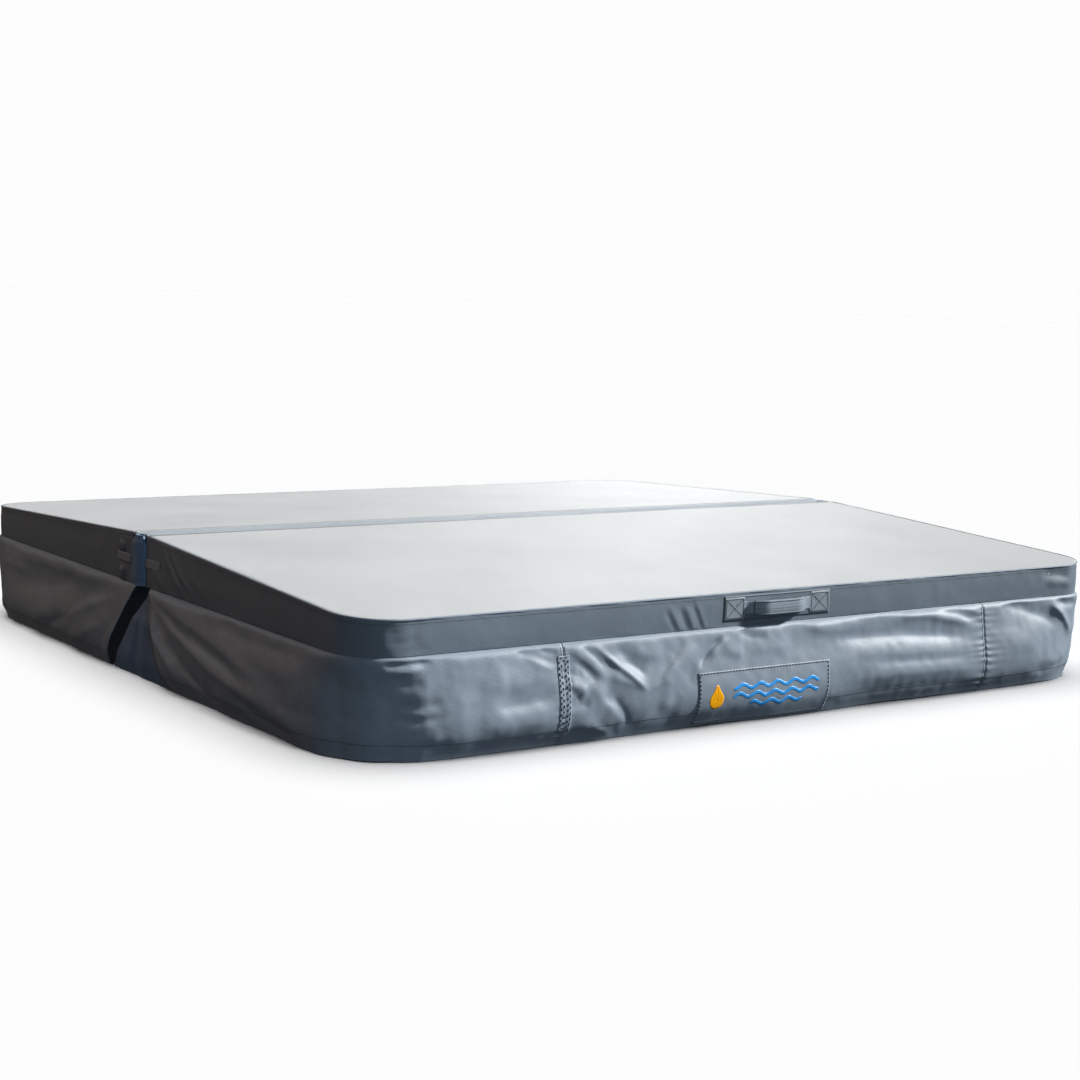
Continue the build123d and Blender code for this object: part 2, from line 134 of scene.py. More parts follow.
def add(material, kind, inputs, ramp=(), **settings):
    """Adds a node with its settings, its ramp's two colours, and its sockets' values and links."""
    node = material.node_tree.nodes.new("ShaderNode" + kind)
    for name, value in settings.items():
        setattr(node, name, value)
    for stop, code in enumerate(ramp):
        node.color_ramp.elements[stop].color = linear(code)
    return wire(material, node, inputs)


def bare(name):
    """A new material, its shader and the coordinates that its patterns lie on."""
    material = bpy.data.materials.new(name)
    material.use_nodes = True
    return material, material.node_tree.nodes["Principled BSDF"], add(material, "TexCoord", {}).outputs


floor_half = 60.0
floor_mesh = bpy.data.meshes.new("floor")
floor_corners = [(-floor_half, -floor_half), (floor_half, -floor_half), (floor_half, floor_half)]
floor_corners.append((-floor_half, floor_half))
floor_mesh.from_pydata([(x, y, cad_low.z + 0.65 * mm) for x, y in floor_corners], [], [(0, 1, 2, 3)])
floor = bpy.data.objects.new("floor", floor_mesh)
paper, shader, place = bare("matt studio paper")
wire(paper, shader, {"Base Color": (0.9, 0.9, 0.9, 1), "Roughness": 1.0, "Specular IOR Level": 0.0})
floor_mesh.materials.append(paper)

backdrop_mesh = bpy.data.meshes.new("backdrop")
backdrop_turns = np.linspace(0, 2 * pi, 65)
wall_x, wall_y = 58 * np.cos(backdrop_turns), 58 * np.sin(backdrop_turns)
wall_points = [(x, y, z) for x, y in zip(wall_x, wall_y) for z in (-5, 60)]
wall_faces = [(2 * i, 2 * i + 1, 2 * i + 3, 2 * i + 2) for i in range(64)]
backdrop_mesh.from_pydata(wall_points, [], wall_faces)
backdrop = bpy.data.objects.new("backdrop", backdrop_mesh)
glow, shader, place = bare("lit studio paper")
wire(glow, shader, {"Base Color": (0, 0, 0, 1), "Specular IOR Level": 0.0,
                    "Emission Color": (0.98, 0.981, 0.982, 1), "Emission Strength": 1.0})
backdrop_mesh.materials.append(glow)
for stage_piece in (floor, backdrop):
    scene.collection.objects.link(stage_piece)
    stage_piece.visible_diffuse = False
    stage_piece.visible_glossy = False
    stage_piece.visible_transmission = False
    stage_piece.visible_shadow = False

floor_lamp = aim("floor_lamp", "SUN", (0, 0, 9), 3.28, (1, 1, 1), angle=radians(70))
floor_only = bpy.data.collections.new("floor_only")
floor_only.objects.link(floor)
floor_lamp.light_linking.receiver_collection = floor_only
cover_lamps = bpy.data.collections.new("not_floor")
cover_lamps.objects.link(floor)
for light_link in cover_lamps.collection_objects:
    light_link.light_linking.link_state = "EXCLUDE"
for lamp in (key, front_fill, left_fill, warm_fill, rear_fill):
    lamp.light_linking.receiver_collection = cover_lamps

# The cover's sizes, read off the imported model
rim_low, rim_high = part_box("rear_rim_band")
half_width, half_depth, fold = rim_high.x, rim_high.y, rim_low.y
underside = rim_low.z
ridge_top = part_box("hinge_strip")[1].z
edge_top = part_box("rear_top_panel")[0].z + 2 * mm
corner_radius = 120 * mm
straight = half_width - corner_radius
corner_run = straight + corner_radius * pi / 2
slope = (ridge_top - edge_top) / (half_depth - fold)


def roof(reach):
    """Height of the cover's top at this distance from the hinge line: a straight fall from the ridge."""
    return ridge_top - slope * (reach - fold)


# Foam cores, with the steel channel let into each one's hinge edge: bead foam cut by hot wire,
# which leaves its beads' outlines, and a rolled channel of zinc-coated sheet.
def dress(node, material):
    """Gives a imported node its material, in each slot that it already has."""
    for held in nodes[node].material_slots:
        held.material = material


foam, shader, place = bare("expanded polystyrene")
beads = add(foam, "TexVoronoi", {"Vector": place["Object"], "Scale": 1 / (4 * mm)})
tone = add(foam, "ValToRGB", {"Fac": beads}, ("#F4F4F0", "#DADAD4"))
dent = add(foam, "Bump", {"Height": beads, "Strength": 0.4, "Distance": 0.4 * mm},
           invert=True)
wire(foam, shader, {"Base Color": tone, "Roughness": 0.85, "Normal": dent})

steel, shader, place = bare("galvanised steel")
spangle = add(steel, "TexVoronoi", {"Vector": place["Object"], "Scale": 1 / (14 * mm)})
tone = add(steel, "ValToRGB", {"Fac": spangle.outputs["Color"]}, ("#8E9498", "#B9BEC1"))
wire(steel, shader, {"Base Color": tone, "Metallic": 1.0, "Roughness": 0.42})

film, shader, place = bare("polyethylene film")
crinkle = add(film, "TexNoise", {"Vector": place["Object"], "Scale": 40, "Detail": 4})
dent = add(film, "Bump", {"Height": crinkle, "Strength": 0.5, "Distance": 1.5 * mm})
wire(film, shader, {"Base Color": linear("#D5DBDD"), "Roughness": 0.25, "Normal": dent,
                    "Transmission Weight": 0.35})
for half in halves:
    dress(f"{half}_foam_core", foam)
    dress(f"{half}_core_channel", steel)
    dress(f"{half}_vapour_wrap", film)


# Under panels: coated lining cloth, sewn flat and drawn in a little between its edges, with the
# brass drain eyelets pressed into it.
def build(name, points, uv, wall=0.0, outward=None, keep=None, wrap=None):
    """A skin through a grid of points, one quad between each four neighbours, with a UV map in metres.

    A grid is one array, or its coordinates apart. outward is the way the skin's middle faces, keep
    says which quads stay, and wall is its thickness, grown inwards. wrap is the way once round a
    tube on its UV map: its last column is joined to its first, and its ends are closed.
    """
    points, uv = (grid if isinstance(grid, np.ndarray) else np.stack(grid, -1) for grid in (points, uv))
    rows, columns = points.shape[:2]
    index = np.arange(rows * columns).reshape(rows, columns)
    if wrap:
        index = np.concatenate((index, index[:, :1]), axis=1)
        uv = np.concatenate((uv, uv[:, :1] + wrap), axis=1)
    corners = (index[:-1, :-1], index[:-1, 1:], index[1:, 1:], index[1:, :-1])
    quads = np.stack(corners, -1).reshape(-1, 4)
    uv_rows, uv_columns = uv.shape[:2]
    uv_index = np.arange(uv_rows * uv_columns).reshape(uv_rows, uv_columns)
    uv_corners = (uv_index[:-1, :-1], uv_index[:-1, 1:], uv_index[1:, 1:], uv_index[1:, :-1])
    uv_quads = np.stack(uv_corners, -1).reshape(-1, 4)
    if keep is not None:
        quads, uv_quads = quads[keep.reshape(-1)], uv_quads[keep.reshape(-1)]
    flat = points.reshape(-1, 3)
    if outward is not None:
        across = flat[quads[:, 2]] - flat[quads[:, 0]]
        down = flat[quads[:, 3]] - flat[quads[:, 1]]
        if np.cross(across, down).sum(axis=0) @ np.array(outward) < 0:
            quads, uv_quads = quads[:, ::-1], uv_quads[:, ::-1]
    used, quads = np.unique(quads, return_inverse=True)
    quads = quads.reshape(-1, 4)
    faces = quads.tolist()
    loops = uv.reshape(-1, 2)[uv_quads.reshape(-1)]
    if wrap:
        ends = [index[0, :columns].tolist(), index[-1, :columns][::-1].tolist()]
        faces += ends
        loops = np.concatenate((loops, np.zeros((2 * columns, 2))))
    mesh = bpy.data.meshes.new(name)
    mesh.from_pydata(flat[used].tolist(), [], faces)
    mesh.uv_layers.new(name="cloth").data.foreach_set("uv", loops.astype(np.float32).reshape(-1))
    mesh.polygons.foreach_set("use_smooth", np.ones(len(mesh.polygons), bool))
    piece = bpy.data.objects.new(name, mesh)
    scene.collection.objects.link(piece)
    if wall:
        thicken = piece.modifiers.new("wall", "SOLIDIFY")
        thicken.thickness = wall
        thicken.offset = -1
    return piece


def smooth(share):
    """Rises from 0 to 1 with no kink as its share goes from 0 to 1: 3 t squared less 2 t cubed."""
    share = np.clip(share, 0, 1)
    return share * share * (3 - 2 * share)


def cloud(across, down, cell, seed):
    """Soft random relief from -1 to 1: random values on a square lattice, eased from one to the next."""
    table = np.random.default_rng(seed).uniform(-1, 1, (97, 97))
    across, down = across / cell, down / cell
    i, j = np.floor(across).astype(int), np.floor(down).astype(int)
    a, d = smooth(across - i), smooth(down - j)
    near = table[i % 97, j % 97] * (1 - a) + table[(i + 1) % 97, j % 97] * a
    far = table[i % 97, (j + 1) % 97] * (1 - a) + table[(i + 1) % 97, (j + 1) % 97] * a
    return near * (1 - d) + far * d


def slab_plan(inner, inset, step, fine_x=(), fine_reach=()):
    """Grid over a half's plan from this distance off the hinge line, in (x, reach).

    Rows lie across the hinge, and in the rounded corners their reach and their half width follow
    the corner's sine and cosine, so that the last row is the far edge. fine_x and fine_reach are
    further grid lines, for what is smaller than a step.
    """
    radius = corner_radius - inset
    start = half_depth - corner_radius
    body = np.union1d(np.linspace(inner, start, int((start - inner) / step)), fine_reach)
    turn = np.linspace(0, pi / 2, 28)[1:]
    reach = np.concatenate((body, start + radius * np.sin(turn)))
    width = np.concatenate((np.full(len(body), straight + radius), straight + radius * np.cos(turn)))
    fine_share = np.array(fine_x) / (straight + radius)
    share = np.union1d(np.linspace(-1, 1, int(2 * half_width / step)), fine_share)
    return share[None, :] * width[:, None], np.repeat(reach[:, None], len(share), axis=1)


def paint(piece, material, body=None, stands_for=None):
    """Gives a piece its material and slot, the body that it rides on and the nodes it stands for."""
    piece.data.materials.append(material)
    if body:
        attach(piece, body)
    if stands_for:
        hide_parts(stands_for)
    return piece


lining, shader, place = bare("coated lining cloth")
scrim = add(lining, "TexBrick", {
    "Vector": place["UV"], "Scale": 1 / mm, "Brick Width": 4.0, "Row Height": 4.0, "Mortar Size": 0.5,
    "Mortar Smooth": 0.6, "Color1": linear("#5E646A"), "Color2": linear("#636A70"),
    "Mortar": linear("#565C62")}, offset=0.0)
dent = add(lining, "Bump", {"Height": scrim.outputs["Fac"], "Strength": 0.3, "Distance": 0.3 * mm},
           invert=True)
wire(lining, shader, {"Base Color": scrim, "Roughness": 0.38, "Normal": dent})
brass, shader, place = bare("nickel-plated brass")
wear = add(brass, "TexNoise", {"Vector": place["Object"], "Scale": 300, "Detail": 5})
polish = add(brass, "MapRange", {"Value": wear, "To Min": 0.2, "To Max": 0.42})
wire(brass, shader, {"Base Color": linear("#B8B4A8"), "Metallic": 1.0, "Roughness": polish})

eyelet_spread, eyelet_reach, eyelet_edge = 620 * mm, 551 * mm, 11 * mm
for half, side in halves.items():
    beside = np.linspace(-24, 24, 21) * mm
    fine_x = np.concatenate((beside - eyelet_spread, beside + eyelet_spread))
    x, reach = slab_plan(fold + 2 * mm, 2 * mm, 24 * mm, fine_x, eyelet_reach + beside)
    beside = np.hypot(np.abs(x) - eyelet_spread, reach - eyelet_reach)
    z = underside + 1.2 * mm * (1 - smooth((beside - 13 * mm) / (9 * mm)))
    z = z + 0.6 * mm * (1 + cloud(x, reach, 130 * mm, 11))
    middle_x = (x[:-1, :-1] + x[1:, 1:]) / 2
    middle_reach = (reach[:-1, :-1] + reach[1:, 1:]) / 2
    outside = np.hypot(np.abs(middle_x) - eyelet_spread, middle_reach - eyelet_reach) > eyelet_edge
    points = (x, side * reach, z)
    panel = build(f"{half}_under_panel_skin", points, (x, reach), 1.0 * mm, (0, 0, -1), outside)
    paint(panel, lining, f"{half}_half", f"{half}_under_panel")
    dress(f"{half}_drain_eyelets", brass)


# Fold walls: the sheet that closes each half beside the hinge, of the cover's own slate cloth, with
# the gap that the zip is sewn behind, along nearly its whole length.
def woven(name, light, dark, roughness, gloss):
    """Woven polyester: pale yarns over darker ones in short staggered floats, a thread at 1.1 mm.

    Drawn at three times its pitch, since a thread is finer than shows from a few steps away.
    """
    material, shader, place = bare(name)
    yarns = add(material, "TexBrick", {
        "Vector": place["UV"], "Scale": 1 / mm, "Brick Width": 3.6, "Row Height": 2.4, "Mortar Size": 0.45,
        "Mortar Smooth": 0.7, "Color1": linear(light), "Color2": linear(light), "Mortar": linear(dark)},
        offset=0.5)
    slub = add(material, "TexNoise", {"Vector": place["UV"], "Scale": 260, "Detail": 3, "Roughness": 0.6})
    fade = add(material, "TexNoise", {"Vector": place["UV"], "Scale": 3.2, "Detail": 3})
    grain, wash = (
        add(material, "MapRange", {"Value": pattern, "From Min": 0.3, "From Max": 0.7,
                                   "To Min": least, "To Max": most})
        for pattern, least, most in ((slub, 0.9, 1.08), (fade, 0.93, 1.05)))
    both = add(material, "Math", {0: grain, 1: wash}, operation="MULTIPLY")
    tone = add(material, "VectorMath", {0: yarns, "Scale": both}, operation="SCALE")
    dent = add(material, "Bump", {"Height": yarns.outputs["Fac"], "Strength": 0.25,
                                  "Distance": 0.3 * mm}, invert=True)
    wire(material, shader, {"Base Color": tone, "Roughness": roughness, "Specular IOR Level": gloss,
                            "Normal": dent})
    return material


# The satin cloth of the skirts, piping and patches is the slate cloth with a glossier finish, drawn lighter:
# the extra lightness is painted light, for the light that the skirts' bellies catch.
satin_with_painted_light = woven("woven polyester, satin slate", "#8794A1", "#697683", 0.52, 0.4)
slate = woven("woven polyester, slate", "#6E7B87", "#535F6A", 0.6, 0.3)
wall_half = half_width - 2.3 * mm
window_low, window_high, window_half = 247 * mm, 255 * mm, 950 * mm
for half, side in halves.items():
    run = np.union1d(np.linspace(-wall_half, wall_half, 180), (-window_half, window_half))
    rise = np.union1d(np.linspace(underside, ridge_top - 2.3 * mm, 20), (window_low, window_high))
    rise = rise[(rise <= window_low) | (rise >= window_high)]
    x, z = np.meshgrid(run, rise)
    puff = smooth((z - underside) / (20 * mm)) * smooth((ridge_top - z) / (20 * mm))
    puff = puff * smooth(np.abs(z - (window_low + window_high) / 2) / (25 * mm))
    y = side * (fold - 1.3 * mm * puff * (0.6 + 0.4 * cloud(x, z, 90 * mm, 5)))
    in_window = (x[:-1, :-1] > -window_half - mm) & (x[1:, 1:] < window_half + mm)
    in_window &= (z[:-1, :-1] > window_low - mm) & (z[1:, 1:] < window_high + mm)
    points = (x, y, z)
    fold_wall = build(f"{half}_fold_wall_skin", points, (x, z), 1.6 * mm, (0, -side, 0), ~in_window)
    paint(fold_wall, slate, f"{half}_half", f"{half}_fold_wall")

# Zips in the fold walls: two woven tapes behind the gap, a chain of moulded teeth that mesh, a
# moulded slider and its metal pull.
zip_cloth = woven("woven zip tape", "#2B3036", "#1E2226", 0.7, 0.3)
plastic, shader, place = bare("moulded acetal")
grit = add(plastic, "TexNoise", {"Vector": place["Object"], "Scale": 1 / (1.5 * mm), "Detail": 3})
gloss = add(plastic, "MapRange", {"Value": grit, "To Min": 0.3, "To Max": 0.5})
dent = add(plastic, "Bump", {"Height": grit, "Strength": 0.15, "Distance": 0.1 * mm})
wire(plastic, shader, {"Base Color": linear("#24282C"), "Roughness": gloss, "Normal": dent})


def repeat(name, shape, faces, places, ahead_axes, side_axes, up_axes):
    """One mesh of a small shape set down at many places, each turned to its three axes."""
    points = (places[:, None] + shape[None, :, :1] * ahead_axes[:, None]
              + shape[None, :, 1:2] * side_axes[:, None] + shape[None, :, 2:] * up_axes[:, None])
    count, corners = points.shape[:2]
    mesh = bpy.data.meshes.new(name)
    every = [[corner + i * corners for corner in face] for i in range(count) for face in faces]
    mesh.from_pydata(points.reshape(-1, 3).tolist(), [], every)
    piece = bpy.data.objects.new(name, mesh)
    scene.collection.objects.link(piece)
    return piece


tooth_pitch, tooth_long, tooth_thick = 3.0 * mm, 3.2 * mm, 2.2 * mm
tooth_ring = np.array([(-1, -1), (1, -1), (1, 1), (-1, 1)]) / 2
tooth = np.concatenate([
    np.column_stack((np.full(4, end * tooth_long), tooth_ring[:, 0] * tooth_pitch * width,
                     tooth_ring[:, 1] * tooth_thick))
    for end, width in ((-0.62, 0.42), (0.1, 0.42), (0.35, 0.62), (0.5, 0.4))
])
tooth_faces = [(3, 2, 1, 0), (12, 13, 14, 15)]
tooth_faces += [(ring * 4 + k, ring * 4 + (k + 1) % 4, ring * 4 + 4 + (k + 1) % 4, ring * 4 + 4 + k)
                for ring in range(3) for k in range(4)]
zip_level = (window_low + window_high) / 2
for half, side in halves.items():
    tape_low, tape_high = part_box(f"{half}_zip_tape")
    tapes = (tape_low.z, zip_level - 3 * mm), (zip_level + 3 * mm, tape_high.z)
    for edge, (low, high) in enumerate(tapes):
        run, rise = np.meshgrid(np.linspace(tape_low.x, tape_high.x, 240), np.linspace(low, high, 6))
        y = side * (fold - 0.1 * mm) - side * 0.25 * mm * cloud(run, rise, 30 * mm, 3 + edge)
        tape = build(f"{half}_zip_tape_{('lower', 'upper')[edge]}", (run, y, rise),
                     (run, rise), 0.6 * mm, (0, -side, 0))
        paint(tape, zip_cloth, f"{half}_half", f"{half}_zip_tape")
    teeth_x = np.arange(tape_low.x + 4 * mm, tape_high.x - 4 * mm, tooth_pitch)
    row = np.where(np.arange(len(teeth_x)) % 2, 1.0, -1.0)
    depth = fold - 1.4 * mm
    places = np.stack((teeth_x, np.full(len(row), side * depth), zip_level + row * 1.1 * mm), -1)
    ahead_axes = np.stack((row * 0, row * 0, -row), -1)
    side_axes = np.tile((1.0, 0, 0), (len(row), 1))
    teeth = repeat(f"{half}_zip_teeth", tooth, tooth_faces, places, ahead_axes, side_axes,
                   np.cross(ahead_axes, side_axes))
    paint(teeth, plastic, f"{half}_half", f"{half}_zip_chain")
    dress(f"{half}_zip_slider", plastic)
    dress(f"{half}_zip_pull", brass)


# Rim bands: the tapered wall round three sides, of the slate cloth, drawn over the foam. It
# wrinkles where the sewing pulls it, beside the handle, at the corners and at the hinge.
def around(side, run, out):
    """Plan place at a run along a half's rim and a distance out from it.

    run is 0 at the middle of the far edge and grows to the right: straight along the far edge, a
    quarter turn round the corner, then straight back to the hinge.
    """
    length = np.abs(run)
    turn = np.clip((length - straight) / corner_radius, 0, pi / 2)
    back = np.clip(length - corner_run, 0, None)
    radius = corner_radius + out
    x = np.sign(run) * (np.minimum(length, straight) + radius * np.sin(turn))
    reach = half_depth - corner_radius + radius * np.cos(turn) - back
    return x, side * reach, reach


def side_run(reach, hand="left"):
    """Run, in mm, of the place on a half's left or right side at this distance off the hinge, in mm."""
    return hands[hand] * ((corner_run + half_depth - corner_radius) / mm - reach)


def crest(across, down, route, width, height):
    """Relief of one fold: a hyperbolic-secant bell about a route, in mm.

    It is up to a third narrower below the route than above, because cloth folds over as it hangs,
    and it rises and dies away smoothly at the route's ends.
    """
    route = np.array(route, float) * mm
    legs = np.diff(route, axis=0)
    lengths = np.hypot(legs[:, 0], legs[:, 1])
    nearest = np.full(across.shape, np.inf)
    gone, below = np.zeros(across.shape), np.zeros(across.shape)
    for corner, leg, length, before in zip(route, legs, lengths, np.cumsum(lengths) - lengths):
        off_across, off_down = across - corner[0], down - corner[1]
        share = np.clip((off_across * leg[0] + off_down * leg[1]) / length**2, 0, 1)
        off_across, off_down = off_across - share * leg[0], off_down - share * leg[1]
        off = np.hypot(off_across, off_down)
        closer = off < nearest
        nearest = np.where(closer, off, nearest)
        gone = np.where(closer, before + share * length, gone)
        below = np.where(closer, off_down, below)
    bell_width = width * mm * (1 - 0.3 * below / (nearest + 1e-6))
    total = lengths.sum()
    ends = smooth(gone / (0.3 * total)) * smooth((total - gone) / (0.3 * total))
    return height * mm * ends / np.cosh(np.minimum(nearest / bell_width, 20))


def relief(across, down, folds):
    """Sum of a list of folds, each its route, width and height in mm."""
    total = np.zeros(np.broadcast(across, down).shape)
    for route, width, height in folds:
        total = total + crest(across, down, route, width, height)
    return total


def up_side(folds, hand="left"):
    """The same folds, with the distances off the hinge in their routes turned into runs up a side."""
    return [([(side_run(reach, hand), drop) for reach, drop in route], width, height)
            for route, width, height in folds]


# Each fold is its route, its width and its height. A route is points of a run, or up a side of a
# distance off the hinge, and a drop below the rim's foot.
rim_folds = {
    "front": [
        ([(-321, -58), (-281, 10)], 4.5, -1.5),
        ([(-306, -58), (-266, 10)], 4.5, 1.7),
        ([(-281, -58), (-247, 10)], 4.5, -1.6),
        ([(-266, -62), (-230, 10)], 4.5, 1.8),
        ([(-247, -66), (-209, 10)], 4, -1.4),
        ([(-236, -66), (-198, 10)], 4, 1.4),
        ([(858, -55), (915, -54), (975, -44)], 9, -4.0),
        ([(870, -36), (930, -34), (990, -25)], 9, 3.0),
        ([(-905, -66), (-960, -50), (-1010, -48)], 9, -1.4),
        ([(-915, -40), (-955, -30), (-1000, -30)], 8, -1.8),
        ([(-890, -18), (-940, -14), (-985, -4)], 8, -1.2),
    ] + up_side([
        ([(120, -108), (185, -55), (250, -4)], 8, 6.0),
        ([(150, -108), (225, -50), (300, -4)], 8, 5.5),
        ([(134, -106), (205, -52), (275, -4)], 6, -5.0),
        ([(60, -60), (100, -30), (150, -4)], 8, 3.0),
        ([(210, -90), (300, -45), (390, -6)], 12, 2.0),
    ]),
    "rear": [
        ([(-330, -60), (-300, -30), (-270, -5)], 8, 2.0),
        ([(240, -60), (270, -30), (320, -6)], 8, -2.0),
        ([(-905, -60), (-960, -50), (-1010, -42)], 8, -2.5),
    ] + up_side([
        ([(180, -100), (240, -50), (280, -6)], 14, 2.0),
    ]),
}


def rim_out(half, run, drop):
    """How far the rim's face stands off its line: a slight puff, its wrinkles and soft unevenness."""
    height = edge_top - underside
    puff = 1.2 * mm * np.sin(pi * np.clip(-drop / height, 0, 1))
    small = 0.7 * mm * cloud(run, drop, 70 * mm, 21) + 0.35 * mm * cloud(run, drop, 24 * mm, 22)
    held = smooth(-drop / (6 * mm))
    below_edge = roof(around(1, run, 0)[2]) - underside + drop
    pucker = 0.8 * mm * cloud(run, drop, 9 * mm, 23) * np.exp(-np.clip(below_edge, 0, None) / (7 * mm))
    return puff + pucker + held * (small + relief(run, drop, rim_folds[half]))


def rim_point(half, run, share, lift=0.0):
    """Place on the rim's face at a run and a share of its height, from its foot up to the roof's edge."""
    side = halves[half]
    reach = around(side, run, 0)[2]
    height = roof(reach) - 2.2 * mm - underside
    drop = -share * height
    x, y, reach = around(side, run, rim_out(half, run, drop) + lift)
    return np.stack((x, y, underside + share * height), -1), drop


rim_end = corner_run + half_depth - corner_radius - fold
for half, side in halves.items():
    run, share = np.meshgrid(np.linspace(-rim_end, rim_end, 1150), np.linspace(1, 0, 26))
    points, drop = rim_point(half, run, share)
    rim = build(f"{half}_rim_band_skin", points, (run, -drop), 1.4 * mm, (0, side, 0))
    paint(rim, slate, f"{half}_half", f"{half}_rim_band")

# Top panels: the same cloth as the sides, drawn in a paler colour that is painted sunlight, stretched over
# the slab and rolled down at its edges.
pale = woven("woven polyester, pale", "#BDC0C2", "#A5AAAD", 0.65, 0.35)
for half, side in halves.items():
    x, reach = slab_plan(fold + 1.8 * mm, 0, 9 * mm)
    edge = np.minimum(straight + np.sqrt(np.clip(corner_radius**2 - np.clip(
        reach - half_depth + corner_radius, 0, None) ** 2, 0, None)) - np.abs(x), half_depth - reach)
    ease = smooth(np.minimum(edge, reach - fold) / (30 * mm))
    z = roof(reach) - 1.6 * mm * (1 - smooth(edge / (9 * mm)))
    z = z + ease * (0.5 * mm * cloud(x, reach, 260 * mm, 31) + 0.25 * mm * cloud(x, reach, 80 * mm, 32))
    top = build(f"{half}_top_panel_skin", (x, side * reach, z), (x, reach),
                1.6 * mm, (0, 0, 1))
    paint(top, pale, f"{half}_half", f"{half}_top_panel")


# Edge piping: the seam of top and rim rolled over a cord, a little puckered by its stitches.
def tube(stations, count):
    """Grid of the stations along a tube and of this many angles round it."""
    return np.meshgrid(stations, np.linspace(0, 2 * pi, count + 1)[:-1], indexing="ij")


bead_radius = 2.5 * mm
for half, side in halves.items():
    run, angle = tube(np.linspace(-rim_end, rim_end, 1100), 12)
    pucker = cloud(run, angle * 3 * mm, 14 * mm, 41) * 0.3 * mm
    pucker = pucker + cloud(run, angle * 0, 90 * mm, 42) * 0.2 * mm
    end_ease = np.sqrt(smooth((rim_end - np.abs(run)) / (6 * mm)) + 0.02)
    radius = (bead_radius + pucker) * end_ease
    x, y, reach = around(side, run, radius * np.cos(angle) - 1.2 * mm)
    z = roof(around(side, run, 0)[2]) - 2.2 * mm + radius * np.sin(angle)
    piping = build(f"{half}_edge_piping_roll", (x, y, z), (run, angle * 4 * mm), wrap=(0, 25 * mm))
    paint(piping, satin_with_painted_light, f"{half}_half", f"{half}_edge_piping")


